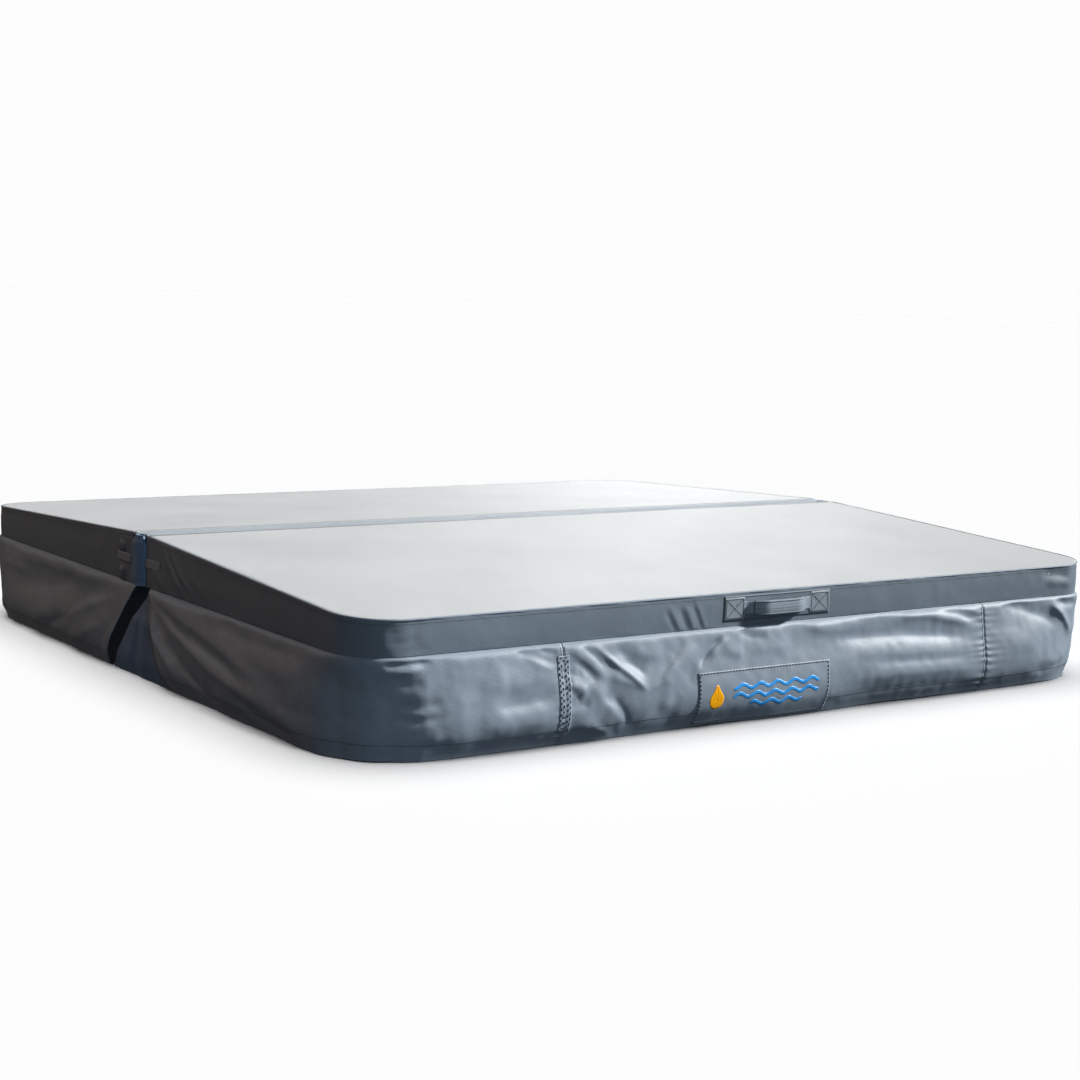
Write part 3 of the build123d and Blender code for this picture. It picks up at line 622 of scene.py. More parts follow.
# Skirts: three panels round each half, sewn on below the rim. The cloth rolls out under the rim,
# hangs in a slack belly and turns in at a stitched hem. Its folds run from the seams and corners.
drop_full = underside - cad_low.z
seams = {"left": -587, "right": 650}
free_ends = {"front": (60, 180), "rear": (10, 160)}
skirt_folds = {
    "front": [
        # near the left corner
        ([(-1010, 13), (-955, 15), (-892, 9)], 7, -9),
        ([(-1020, 28), (-965, 30), (-912, 23)], 7, 4),
        ([(-985, 48), (-945, 58), (-910, 50)], 9, -3),
        ([(-1000, 74), (-950, 82), (-905, 70)], 12, 3),
        ([(-975, 96), (-930, 104), (-872, 90)], 8, -5),
        ([(-990, 122), (-925, 130), (-862, 118)], 9, -4.5),
        ([(-955, 112), (-915, 116), (-880, 108)], 7, 3),
        ([(-930, 158), (-880, 166), (-800, 150)], 15, 3),
        ([(-965, 186), (-915, 178), (-850, 188)], 10, -3),
        ([(-1010, 110), (-1060, 128), (-1120, 124)], 9, -4),
        ([(-1030, 60), (-1070, 70), (-1130, 64)], 9, -3),
        # left panel, which is drawn in where it meets its seam
        ([(-770, 116), (-690, 113), (-640, 108), (-594, 106)], 13, -9),
        ([(-790, 70), (-700, 66), (-595, 62)], 20, 5),
        ([(-800, 152), (-690, 152), (-595, 148)], 20, 7),
        ([(-715, 1), (-665, 18), (-600, 40)], 9, -5),
        ([(-690, 14), (-650, 34), (-600, 58)], 8, 3),
        ([(-650, 3), (-625, 14), (-596, 22)], 6, -4),
        ([(-880, 30), (-790, 44), (-720, 84)], 26, 4),
        # right of the left seam
        ([(-582, 80), (-552, 92), (-527, 108)], 9, 6),
        ([(-580, 60), (-556, 68), (-536, 64)], 7, -3),
        ([(-582, 128), (-550, 126), (-520, 132)], 8, -4),
        ([(-578, 6), (-520, 45), (-470, 88)], 10, 6),
        ([(-560, 34), (-520, 66), (-500, 90)], 8, -5),
        ([(-530, 82), (-470, 138), (-405, 200)], 12, 7),
        ([(-513, 101), (-457, 134), (-406, 209)], 14, -11),
        ([(-480, 70), (-425, 92), (-370, 108)], 10, 5),
        ([(-499, 21), (-417, 79), (-366, 121)], 5, 7),
        ([(-462, 10), (-415, 46), (-368, 84)], 9, -5),
        ([(-570, 168), (-510, 180), (-440, 198)], 11, 6),
        ([(-520, 160), (-465, 190), (-430, 208)], 8, -4),
        # finer creases across the same stretch
        ([(-545, 4), (-505, 34), (-478, 62)], 4, -3),
        ([(-520, 2), (-476, 34), (-440, 62)], 4, 3),
        ([(-440, 44), (-405, 62), (-372, 84)], 4, -3),
        ([(-576, 96), (-556, 112), (-548, 128)], 4, -3),
        ([(-574, 114), (-548, 104), (-530, 84)], 4, 2.5),
        ([(-470, 112), (-436, 150), (-412, 190)], 5, -3.5),
        ([(-380, 120), (-330, 96), (-284, 50)], 5, 2.5),
        ([(-352, 92), (-300, 52), (-262, 12)], 5, -3),
        ([(-420, 22), (-370, 40), (-320, 36)], 14, 4),
        ([(-345, 130), (-290, 70), (-226, 26)], 13, 6),
        ([(-320, 150), (-262, 105), (-245, 60)], 11, -5),
        ([(-370, 150), (-330, 170), (-280, 176)], 16, -5),
        # beside the badge
        ([(-156, 14), (-193, 38), (-221, 65), (-233, 86)], 4.5, -8),
        ([(-140, 16), (-178, 42), (-205, 66)], 6, 4),
        ([(-165, 30), (-140, 50), (-100, 58)], 14, 5),
        ([(-125, 8), (-75, 24), (-30, 28)], 9, -5),
        ([(-90, 44), (-30, 50), (40, 48)], 16, 4),
        # right of the badge, drawn towards the right seam
        ([(60, 8), (150, 24), (260, 28)], 14, 5),
        ([(120, 40), (230, 50), (380, 54), (560, 70), (644, 80)], 13, -10),
        ([(150, 82), (330, 88), (500, 98), (644, 104)], 18, 5),
        ([(250, 108), (420, 114), (644, 120)], 11, -4),
        ([(180, 140), (360, 138), (520, 142), (644, 148)], 18, 7),
        ([(330, 4), (470, 14), (560, 32), (644, 50)], 12, 8),
        ([(480, 4), (560, 16), (600, 30), (644, 34)], 7, -5),
        ([(560, 2), (610, 12), (644, 18)], 6, 4),
        ([(160, 178), (400, 176), (640, 178)], 9, -3),
        # right panel and corner
        ([(700, 6), (790, 20), (870, 46), (935, 78)], 15, -10),
        ([(884, 12), (930, 42), (985, 102)], 7, 10),
        ([(905, 8), (955, 20), (1015, 22)], 9, -9),
        ([(660, 60), (760, 96), (860, 108)], 26, 5),
        ([(950, 100), (1010, 84), (1080, 70)], 12, 5),
        ([(800, 166), (870, 182), (960, 160)], 10, -4),
        ([(850, 150), (920, 160), (990, 140)], 10, 4),
    ] + up_side([
        # left side, a fan from the foot of the hinge
        ([(44, 4), (170, 22), (420, 60), (700, 104)], 15, 10),
        ([(44, 8), (200, 58), (440, 116), (830, 170)], 17, 13),
        ([(50, 6), (260, 64), (480, 96), (640, 128)], 11, -9),
        ([(50, 16), (130, 92), (231, 146), (300, 200)], 13, 10),
        ([(60, 20), (180, 102), (340, 160), (470, 200)], 13, -12),
        ([(52, 30), (100, 110), (150, 205)], 10, -7),
        ([(50, 26), (78, 110), (104, 200)], 8, 5),
        ([(330, 22), (600, 30), (860, 26)], 13, -5),
        ([(520, 40), (700, 66), (860, 78)], 24, 7),
        ([(520, 150), (640, 178), (800, 200)], 11, -7),
        ([(700, 130), (800, 138), (880, 128)], 14, -4),
    ]),
    "rear": [
        # far edge
        ([(-1000, 20), (-940, 60), (-900, 120)], 14, 7),
        ([(-860, 12), (-760, 60), (-600, 100)], 18, 8),
        ([(-820, 60), (-720, 110), (-600, 130)], 14, -8),
        ([(-580, 20), (-480, 70), (-420, 150)], 14, 8),
        ([(-540, 110), (-400, 90), (-260, 110)], 18, -7),
        ([(-360, 20), (-300, 90), (-290, 170)], 14, 6),
        ([(-180, 12), (-60, 60), (80, 70)], 18, -8),
        ([(-120, 150), (60, 120), (240, 140)], 18, 8),
        ([(140, 14), (300, 50), (640, 80)], 16, 9),
        ([(220, 70), (400, 96), (644, 110)], 14, -8),
        ([(300, 150), (460, 160), (644, 140)], 14, 6),
        ([(660, 100), (780, 70), (880, 20)], 14, -8),
        ([(700, 150), (820, 130), (960, 150)], 14, 7),
    ] + up_side([
        # left side, a fan from the foot of the hinge
        ([(60, 8), (300, 20), (560, 22), (860, 26)], 20, 8),
        ([(300, 30), (520, 76), (760, 104)], 24, -13),
        ([(24, 10), (180, 58), (328, 108), (700, 192)], 18, 12),
        ([(60, 18), (255, 60), (400, 130), (600, 200)], 17, -13),
        ([(150, 110), (280, 160), (400, 205)], 14, 8),
        ([(60, 60), (140, 130), (200, 200)], 12, -6),
        ([(620, 60), (760, 50), (900, 56)], 18, 6),
        ([(780, 130), (840, 160), (880, 200)], 13, 6),
    ]),
}
for half in halves:
    skirt_folds[half] += up_side([
        # right side, a looser fan from the foot of the hinge
        ([(50, 6), (220, 40), (600, 70)], 16, 9),
        ([(50, 14), (200, 90), (460, 170)], 15, 10),
        ([(60, 8), (280, 76), (560, 120)], 13, -9),
        ([(520, 130), (680, 150), (840, 120)], 20, 8),
        ([(640, 20), (780, 60), (900, 70)], 16, -7),
        ([(90, 90), (150, 160), (230, 205)], 11, -7),
    ], "right")


def pull_in(run, drop, seam, reach, height):
    """Puckers beside a seam: short folds across it, one each 17 mm, that die away on both sides."""
    off = run - seam * mm
    ease = np.exp(-np.abs(off) / (reach * mm)) * smooth((drop - 6 * mm) / (16 * mm))
    seed, beside = int(abs(seam)), run * 0 + np.sign(off)
    wave = np.sin(2 * pi * drop / (17 * mm) + 4.0 * cloud(0.3 * beside, drop, 45 * mm, seed))
    wave = wave * (0.65 + 0.6 * cloud(beside, drop, 30 * mm, seed + 1))
    notch = -1.0 * mm * np.exp(-((off / (3 * mm)) ** 2))
    lean = smooth(np.abs(off) / (5 * mm))
    return height * mm * ease * wave * lean + notch


def near_corner(length, margin, rise, fall):
    """1 round a corner and a margin past it, eased to 0 over the rise before it and the fall after."""
    return smooth((length - straight + margin) / rise) * smooth((corner_run + margin - length) / fall)


def skirt_out(half, run, drop):
    """How far the skirt stands off the rim's line at a drop below the rim's foot.

    A quick roll out under the rim, a belly that is fullest at about two thirds of the drop, a hem
    that turns in, and then the folds, the puckers and a soft unevenness, which the sewing holds.
    """
    share = np.clip(drop / drop_full, 0, 1)
    length = np.abs(run)
    corner = near_corner(length, 130 * mm, 150 * mm, 110 * mm)
    shoulder = 8.5 * mm * (1 - np.exp(-np.clip(drop, 0, None) / (5 * mm))) + np.minimum(drop, 0)
    belly = 19 * mm * np.sin(pi * share**1.6) * (1 - 0.75 * corner)
    hem_turn = -6 * mm * smooth((drop - 165 * mm) / (46 * mm)) - 6 * mm * corner * share**2.5
    drawn = near_corner(length, 38 * mm, 80 * mm, 80 * mm) * np.where(run < 0, 22 * mm, 12 * mm)
    drawn = drawn * (smooth(drop / (90 * mm)) ** 0.7 if half == "front" else share)
    hem_wave = smooth((drop - 120 * mm) / (90 * mm)) * 4 * mm * cloud(run, drop * 0, 150 * mm, 51)
    slack = 1.2 * mm * cloud(run + 0.6 * drop, drop, 55 * mm, 52) + 0.6 * mm * cloud(run, drop, 19 * mm, 53)
    folds = 0.75 * relief(run, drop, skirt_folds[half])
    folds = folds + pull_in(run, drop, seams["right"], 22, 2.4) + pull_in(run, drop, seams["left"], 12, 1.6)
    held = smooth(drop / (14 * mm)) * (1 - 0.55 * smooth((drop - 185 * mm) / (25 * mm)))
    return 0.8 * mm + shoulder + belly - drawn + hem_turn + hem_wave + held * (folds + slack)


def skirt_point(half, run, drop, lift=0.0):
    """Place on the skirt's outer face, or lifted off it. The hem rides up a little here and there."""
    out = skirt_out(half, run, drop) + lift
    rise = 4 * mm * smooth(cloud(run, drop * 0, 170 * mm, 54) * 0.5 + 0.4) * (drop / drop_full) ** 2
    rise = rise * smooth((straight - run) / (100 * mm)) * (half == "front")
    x, y, reach = around(halves[half], run, out)
    return np.stack((x, y, underside - drop + rise), -1)


def free_end(half, drop):
    """Distance off the hinge, in mm, of the skirt's free end at a drop: a straight slant to the hem."""
    top_end, hem_end = free_ends[half]
    return top_end + (hem_end - top_end) * drop / drop_full


skirt_rows = np.concatenate(([-3, -1.2, 0, 1, 2, 3.5, 5, 7, 9.5, 12.5], np.arange(16, 206, 3.4),
                             [207, 209, 211, 212.4])) * mm
spans = {"left": (None, seams["left"]), "centre": (seams["left"], seams["right"]),
         "right": (seams["right"], None)}
for half, side in halves.items():
    for panel, (start, end) in spans.items():
        down = skirt_rows[:, None]
        end_reach = free_end(half, down)
        start_run = side_run(end_reach, "left") * mm if start is None else start * mm + 0 * down
        end_run = side_run(end_reach, "right") * mm if end is None else end * mm + 0 * down
        columns = int(abs(end_run - start_run).mean() / (3.6 * mm))
        run = start_run + (end_run - start_run) * np.linspace(0, 1, columns)[None, :]
        drop = down + 0 * run
        skirt = build(f"{half}_skirt_{panel}_skin", skirt_point(half, run, drop), (run, -drop),
                      1.3 * mm, (0, side, 0))
        paint(skirt, satin_with_painted_light, f"{half}_half", f"{half}_skirt_{panel}")


# Stitching: heavy polyester thread, in long stitches that sink into the cloth at both ends.
def evenly(points, pitch):
    """Places and directions along a line of points, one each pitch."""
    steps = np.linalg.norm(np.diff(points, axis=0), axis=1)
    gone = np.concatenate(([0], np.cumsum(steps)))
    stations = np.arange(pitch / 2, gone[-1], pitch)
    places = np.stack([np.interp(stations, gone, points[:, k]) for k in range(3)], -1)
    ahead = np.stack([np.interp(stations + pitch / 4, gone, points[:, k]) for k in range(3)], -1)
    behind = np.stack([np.interp(stations - pitch / 4, gone, points[:, k]) for k in range(3)], -1)
    direction = ahead - behind
    return places, direction / np.linalg.norm(direction, axis=1)[:, None]


thread, shader, place = bare("polyester thread")
ply = add(thread, "TexNoise", {"Vector": place["Object"], "Scale": 1 / (1.2 * mm)})
tone = add(thread, "ValToRGB", {"Fac": ply}, ("#171B1F", "#2A3036"))
wire(thread, shader, {"Base Color": tone, "Roughness": 0.5})

stitch_rings = ((-0.5, 0.15), (-0.3, 1.0), (0.3, 1.0), (0.5, 0.15))
stitch_turns = np.arange(5) * 2 * pi / 5
stitch_faces = [(ring * 5 + k, ring * 5 + (k + 1) % 5, ring * 5 + 5 + (k + 1) % 5, ring * 5 + 5 + k)
                for ring in range(3) for k in range(5)]
stitch_faces += [tuple(range(5))[::-1], tuple(range(15, 20))]


def stitches(name, lines, outward, body, pitch=6 * mm, length=4.4 * mm, radius=0.7 * mm, cloth=None):
    """Rows of stitches along lines of points that lie on the cloth, each row facing outward."""
    found = [evenly(np.asarray(line, float), pitch) for line in lines]
    places = np.concatenate([place for place, direction in found])
    ahead_axes = np.concatenate([direction for place, direction in found])
    facing = np.tile(np.array(outward, float), (len(places), 1))
    side_axes = np.cross(facing, ahead_axes)
    side_axes /= np.linalg.norm(side_axes, axis=1)[:, None]
    ring = np.column_stack((np.cos(stitch_turns), np.sin(stitch_turns))) * radius
    shape = np.concatenate([np.column_stack((np.full(5, along * length), ring * wide))
                            for along, wide in stitch_rings])
    up_axes = np.cross(ahead_axes, side_axes)
    piece = repeat(name, shape, stitch_faces, places, ahead_axes, side_axes, up_axes)
    return paint(piece, cloth or thread, body)


for half, side in halves.items():
    drop = np.linspace(6, 210, 90) * mm
    lines = [skirt_point(half, (seams[hand] + off) * mm + 0 * drop, drop, 0.2 * mm)
             for hand in ("right", "left") for off in (-5, 5)]
    stitches(f"{half}_seam_stitches", lines, (0, side, 0), f"{half}_half")
    edge_run = np.linspace(-rim_end + 8 * mm, rim_end - 8 * mm, 2400)
    edge_share = 1 - 9 * mm / (roof(around(side, edge_run, 0)[2]) - underside)
    hem_reach = free_ends[half][1] + 4
    hem_run = np.linspace(side_run(hem_reach) * mm, side_run(hem_reach, "right") * mm, 2400)
    rows = (("hem", skirt_point(half, hem_run, 178 * mm + 0 * hem_run, 0.1 * mm), 6 * mm, 0.7 * mm),
            ("edge", rim_point(half, edge_run, edge_share, 0.1 * mm)[0], 7 * mm, 0.6 * mm))
    for part in range(6):
        for row, line, pitch, radius in rows:
            stretch = line[part * 400 : part * 400 + 401]
            middle_x = stretch[200][0]
            facing = (np.sign(middle_x), 0, 0) if abs(middle_x) > half_width - 30 * mm else (0, side, 0)
            stitches(f"{half}_{row}_stitches_{part + 1}", [stretch], facing, f"{half}_half", pitch,
                     4.4 * mm, radius)


# Patches on the front skirt: a reinforcing strip over the left seam with rows of stitches along it,
# and a plain badge with a stitched border that carries a printed drop over waves.
def on_skirt(name, left, right, top, foot, step, wall, lift):
    """A sheet that lies on the front skirt between two runs and two drops, in mm, a lift off it."""
    across = np.arange(left, right + step / 2, step)
    run, drop = np.meshgrid(across * mm, np.arange(top, foot + step / 2, step) * mm)
    return build(name, skirt_point("front", run, drop, lift), (run, -drop), wall, (0, -1, 0))


def rectangle_line(left, right, top, foot, lift):
    """A closed line of points on the front skirt round a rectangle of runs and drops, in mm."""
    corners = np.array([(left, top), (right, top), (right, foot), (left, foot), (left, top)], float) * mm
    share = np.linspace(0, 1, 120)
    legs = [corners[k] + (corners[k + 1] - corners[k]) * share[:, None] for k in range(4)]
    points = np.concatenate(legs)
    return skirt_point("front", points[:, 0], points[:, 1], lift)


strap_box = (-602, -572, 24, 182)
strap_patch = on_skirt("strap_patch_strip", *strap_box, 2.5, 0.6 * mm, 0.9 * mm)
paint(strap_patch, satin_with_painted_light, "front_half", "strap_patch")
left, right, top, foot = strap_box
lines = [rectangle_line(left + inset, right - inset, top + inset, foot - inset, 1.0 * mm)
         for inset in (4, 10)]
stitches("strap_patch_stitches", lines, (0, -1, 0), "front_half", 12 * mm, 6 * mm, 1.3 * mm)

badge_box = (-236, 142, 89, 207)
badge = on_skirt("badge_patch_cloth", *badge_box, 3.0, 1.0 * mm, 1.7 * mm)
paint(badge, satin_with_painted_light, "front_half", "badge_patch")
left, right, top, foot = badge_box
stitches("badge_border_stitches", [rectangle_line(left + 3.5, right - 3.5, top + 3.5, foot - 3.5, 1.9 * mm)],
         (0, -1, 0), "front_half", 9 * mm, 5.8 * mm, 1.4 * mm)


def ink(name, code):
    """Screen-printing ink: an even, slightly glossy film that takes the cloth's grain a little."""
    material, shader, place = bare(name)
    grain = add(material, "TexNoise", {"Vector": place["Object"], "Scale": 1 / (3 * mm)})
    tone = add(material, "MixRGB", {"Fac": 0.18, "Color1": linear(code), "Color2": grain.outputs["Color"]},
               blend_type="MULTIPLY")
    wire(material, shader, {"Base Color": tone, "Roughness": 0.4})
    return material


def printed(name, run, drop, material):
    """A film of ink on the badge through a grid of runs and drops, in metres."""
    film_piece = build(name, skirt_point("front", run, drop, 1.95 * mm), (run, -drop), 0.2 * mm, (0, -1, 0))
    return paint(film_piece, material, "front_half")


orange, blue = ink("printed ink, orange", "#FFB000"), ink("printed ink, blue", "#2F9DF0")
# The drop: a circle whose top is drawn out to a point.
turn, share = np.meshgrid(np.linspace(0, 2 * pi, 49), np.linspace(0.02, 1, 9))
point_out = 1 + 0.75 * np.exp(-((np.minimum(turn, 2 * pi - turn) / 0.42) ** 2))
printed("badge_drop", (-186 + 20 * share * np.sin(turn)) * mm,
        (153 - 20 * share * np.cos(turn) * point_out) * mm, orange)
# The waves: bars of even height along a sine.
for number, (level, start, end) in enumerate(((128, -140, 110), (148, -140, 110), (168, -90, 60))):
    run, share = np.meshgrid(np.linspace(start, end, 120), np.linspace(-1, 1, 5))
    swell = 4.5 * np.sin(2 * pi * run / 50 + number)
    blunt = np.sqrt(np.clip(np.minimum(run - start, end - run) / 5, 0.02, 1))
    printed(f"badge_wave_{number + 1}", run * mm, (level + swell + 4.2 * share * blunt) * mm, blue)

# Gussets: a wedge of bluer cloth at each end of the hinge, sewn to the front skirt's slanted edge
# with a double row, its other edge free behind the rear skirt's. The cloth's blue and lightness are
# partly its own and partly painted skylight, which the wedge catches as it faces the sky. The end
# rolls are of the same cloth.
hinge_cloth = woven("woven polyester, blue-grey", "#647F9E", "#526A87", 0.6, 0.3)
gusset_top, gusset_hem = 14 * mm, 130 * mm
for hand, sign in hands.items():
    levels = np.linspace(gusset_top + 1 * mm, drop_full - 1 * mm, 56)
    drop, share = np.meshgrid(levels, np.linspace(0, 1, 60), indexing="ij")
    front_edge = free_end("front", drop)
    depth = (drop - gusset_top) / (drop_full - gusset_top)
    rear_edge = -68 * mm + (gusset_hem + 68 * mm) * depth**0.85
    y = -front_edge * mm + (rear_edge + front_edge * mm) * share
    out = skirt_out("front", sign * side_run(112) * -mm + 0 * drop, drop) * 0.55 + 2 * mm
    wave = 2.4 * mm * np.sin(pi * share) * cloud(y, drop * 0.3, 34 * mm, 61 + sign) * smooth(depth * 2)
    fan = relief(y, drop, [([(-52, 30), (-60, 110), (-72, 200)], 8, 3),
                           ([(-40, 40), (0, 120), (40, 205)], 10, 3.5),
                           ([(-42, 40), (-20, 120), (-6, 205)], 8, -3)])
    x = sign * (half_width + out + wave + fan * smooth(share * 6))
    gusset = build(f"skirt_gusset_{hand}_skin", (x, y, underside - drop), (y, -drop),
                   1.3 * mm, (sign, 0, 0))
    paint(gusset, hinge_cloth, "front_half", f"skirt_gusset_{hand}")
    drop = np.linspace(8, 208, 60) * mm
    lines = [skirt_point("front", side_run(free_end("front", drop) + off, hand) * mm, drop, 0.2 * mm)
             for off in (4, 11)]
    stitches(f"skirt_gusset_{hand}_stitches", lines, (sign, 0, 0), "front_half", 6 * mm, 4.4 * mm, 0.9 * mm)

# Hinge strip: one length of pale blue-grey cloth across the gap, slack enough to fold, so it lies in a
# shallow valley between its two stitched edges. Its paleness is painted sunlight, as on the top panels.
strip_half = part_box("hinge_strip")[1].y
x, y = np.meshgrid(np.linspace(-half_width, half_width, 260), np.linspace(-strip_half, strip_half, 31))
valley = np.exp(-((y / (17 * mm)) ** 2)) * (6.0 + 1.5 * cloud(x, y * 0, 120 * mm, 71)) * mm
ripple = 0.5 * mm * cloud(x, y, 22 * mm, 72) * smooth((strip_half - np.abs(y)) / (12 * mm))
tuck = 1.0 * mm * (1 - smooth((strip_half - np.abs(y)) / (5 * mm)))
end_drop = (1 - smooth((half_width - np.abs(x)) / (34 * mm))) * (
    6 * mm * np.exp(-((y / (24 * mm)) ** 2)) + 17 * mm * np.exp(-(((y + 15 * mm) / (8 * mm)) ** 2)))
strip = build("hinge_strip_cloth", (x, y, ridge_top - valley + ripple - tuck - end_drop),
              (x, y), 1.2 * mm, (0, 0, 1))
# Blue-grey cloth drawn pale: the paleness is painted sunlight.
strip_cloth = woven("woven polyester, pale blue-grey", "#A1A9B1", "#8C949D", 0.6, 0.3)
paint(strip, strip_cloth, None, "hinge_strip")
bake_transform(strip)
for half, side in halves.items():
    for row in (3.0, 7.5):
        run = np.linspace(-half_width + 6 * mm, half_width - 6 * mm, 200)
        reach = strip_half + row * mm
        line = np.stack((run, 0 * run + side * reach, 0 * run + roof(reach) - 0.1 * mm), -1)
        stitches(f"{half}_hinge_seam_stitches_{int(row)}", [line], (0, 0, 1), f"{half}_half",
                 6 * mm, 4.4 * mm, 0.6 * mm)

# Heat seal: a foam bolster in a coated sleeve that fills the gap under the hinge strip, narrow
# beside the zips and wide above them, with rounded shoulders.
seal_low, seal_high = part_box("hinge_seal")
waist_half, waist_top, shoulder_top = 18 * mm, 285 * mm, 300 * mm
seal_side = np.array([(0, seal_low.z), (0.7 * waist_half, seal_low.z), (waist_half, seal_low.z + 6 * mm),
                      (waist_half, waist_top), (seal_high.y - 2 * mm, shoulder_top),
                      (seal_high.y - 1 * mm, seal_high.z - 14 * mm), (22 * mm, seal_high.z - 9 * mm),
                      (0, seal_high.z - 13 * mm)])
outline = np.concatenate((seal_side, seal_side[1:-1][::-1] * (-1, 1)))
closed = np.concatenate((outline, outline[:1]))
gone = np.concatenate(([0], np.cumsum(np.linalg.norm(np.diff(closed, axis=0), axis=1))))
station = np.linspace(0, gone[-1], 73)[:-1]
loop = np.stack([np.interp(station, gone, closed[:, k]) for k in (0, 1)], -1)
for turn in range(3):
    loop = (np.roll(loop, 1, axis=0) + 2 * loop + np.roll(loop, -1, axis=0)) / 4
run = np.linspace(seal_low.x, seal_high.x, 110)
x, station = np.meshgrid(run, station, indexing="ij")
swell = 1 + 0.02 * cloud(x, station, 90 * mm, 81)
end_round = np.sqrt(smooth((seal_high.x - np.abs(x)) / (14 * mm)) * 0.5 + 0.5)
seal_middle = 270 * mm
y = loop[None, :, 0] * swell * end_round
z = seal_middle + (loop[None, :, 1] - seal_middle) * end_round
seal = build("hinge_seal_bolster", (x, y, z), (x, station), wrap=(0, gone[-1]))
paint(seal, lining, "rear_half", "hinge_seal")

# Hinge ends: a padded roll that closes the gap, gathered at its top, with a flap behind it that
# is fastened to the rear rim by a loop tape. The tape is drawn near black as painted shade, so it
# shows dark where the flap's edge stands off.
loop_pile_painted_shade, shader, place = bare("near-black loop tape, painted shade")
pile = add(loop_pile_painted_shade, "TexNoise", {"Vector": place["Object"], "Scale": 1 / (1.2 * mm), "Detail": 2})
dent = add(loop_pile_painted_shade, "Bump", {"Height": pile, "Strength": 0.8, "Distance": 0.8 * mm})
tone = add(loop_pile_painted_shade, "ValToRGB", {"Fac": pile}, ("#050607", "#15181A"))
wire(loop_pile_painted_shade, shader, {"Base Color": tone, "Roughness": 0.95, "Normal": dent})
for hand, sign in hands.items():
    roll_low, roll_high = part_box(f"hinge_end_roll_{hand}")
    centre_x = (roll_low.x + roll_high.x) / 2
    half_x, half_y = (roll_high.x - roll_low.x) / 2, roll_high.y
    height, angle = tube(np.linspace(roll_low.z - 6 * mm, roll_high.z, 60), 96)
    level_share = (height - roll_low.z) / (roll_high.z - roll_low.z)
    gather = 1 - 0.42 * smooth((level_share - 0.78) / 0.22) ** 1.5 - 0.1 * (1 - smooth(level_share / 0.12))
    flute = 0.035 * np.cos(7 * angle + 1.2 * level_share) * (0.4 + 0.9 * smooth((level_share - 0.4) / 0.6))
    sag = 0.05 * cloud(angle * 20 * mm, height, 30 * mm, 91 + sign)
    size = np.clip(gather + flute + sag - 0.04, 0.1, 1.0)
    x = centre_x + half_x * size * np.cos(angle)
    y = half_y * np.clip(size * 1.02, 0, 1) * np.sin(angle)
    roll_piece = build(f"hinge_end_roll_{hand}_pad", (x, y, height), (angle * 28 * mm, height),
                       wrap=(2 * pi * 28 * mm, 0))
    paint(roll_piece, hinge_cloth, "rear_half", f"hinge_end_roll_{hand}")

    flap_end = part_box(f"hinge_end_flap_{hand}")[1].y
    reaches = np.linspace(strip_half - 1 * mm, flap_end, 40)
    reach, share = np.meshgrid(reaches, np.linspace(0, 1, 50), indexing="ij")
    flap_foot = underside + 1 * mm
    z = flap_foot + share * (roof(reach) - 12 * mm - flap_foot)
    to_edge = (reach - strip_half) / (flap_end - strip_half)
    bite = np.exp(-(((share - 0.76) / 0.12) ** 4)) + np.exp(-(((share - 0.17) / 0.13) ** 4))
    reach = reach - 15 * mm * bite * smooth((to_edge - 0.4) / 0.6)
    gape = 5 * mm * smooth((to_edge - 0.45) / 0.55) * (0.4 + bite)
    x = sign * (half_width + 2.4 * mm + gape + 1.4 * mm * cloud(reach, z, 30 * mm, 95 + sign) * to_edge)
    flap = build(f"hinge_end_flap_{hand}_cloth", (x, reach, z), (reach, z), 1.3 * mm,
                 (sign, 0, 0))
    paint(flap, slate, "rear_half", f"hinge_end_flap_{hand}")

    reach, z = np.meshgrid(np.linspace(flap_end - 22 * mm, flap_end + 1 * mm, 9),
                           np.linspace(flap_foot + 3 * mm, roof(flap_end) - 15 * mm, 30), indexing="ij")
    x = sign * (half_width + 3.2 * mm + 0.3 * mm * cloud(reach, z, 10 * mm, 99))
    loop_tape_painted_shade = build(f"hinge_end_loop_tape_{hand}", (x, reach, z), (reach, z), 1.0 * mm,
                      (sign, 0, 0))
    paint(loop_tape_painted_shade, loop_pile_painted_shade, "rear_half")

# Webbing: woven strap with raised ribs along it, for the hinge's tabs, the tie-downs and the handle.
webbing, shader, place = bare("ribbed polyester webbing")
ribs = add(webbing, "TexWave", {"Vector": place["UV"], "Scale": 0.314 / (2.4 * mm), "Distortion": 0.6,
                                "Detail": 1.0}, bands_direction="Y")
picks = add(webbing, "TexWave", {"Vector": place["UV"], "Scale": 0.314 / (1.8 * mm)}, bands_direction="X")
mesh_tone = add(webbing, "MixRGB", {"Fac": 0.5, "Color1": ribs, "Color2": picks}, blend_type="MULTIPLY")
tone = add(webbing, "ValToRGB", {"Fac": mesh_tone}, ("#65717C", "#95A2AE"))
dent = add(webbing, "Bump", {"Height": mesh_tone, "Strength": 0.5, "Distance": 0.5 * mm})
wire(webbing, shader, {"Base Color": tone, "Roughness": 0.6, "Normal": dent})

for half, side in halves.items():
    for hand, sign in hands.items():
        tab_low, tab_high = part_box(f"hinge_tab_{half}_{hand}")
        reaches = np.sort(np.abs((tab_low.y, tab_high.y)))
        levels = np.linspace(tab_low.z, tab_high.z, 9)
        reach, z = np.meshgrid(np.linspace(*reaches, 30), levels, indexing="ij")
        stand = 2.2 * mm if half == "front" else 5.5 * mm
        sewn = smooth((reaches[1] - reach) / (18 * mm)) if half == "front" else 1 + 0 * reach
        out = stand * (0.6 + 0.4 * sewn) + 1.2 * mm + 0.8 * mm * cloud(reach, z, 16 * mm, 98)
        x = sign * (half_width + out)
        tab = build(f"hinge_tab_{half}_{hand}_strap", (x, side * reach, z), (reach, z),
                    1.2 * mm, (sign, 0, 0))
        paint(tab, webbing, f"{half}_half", f"hinge_tab_{half}_{hand}")

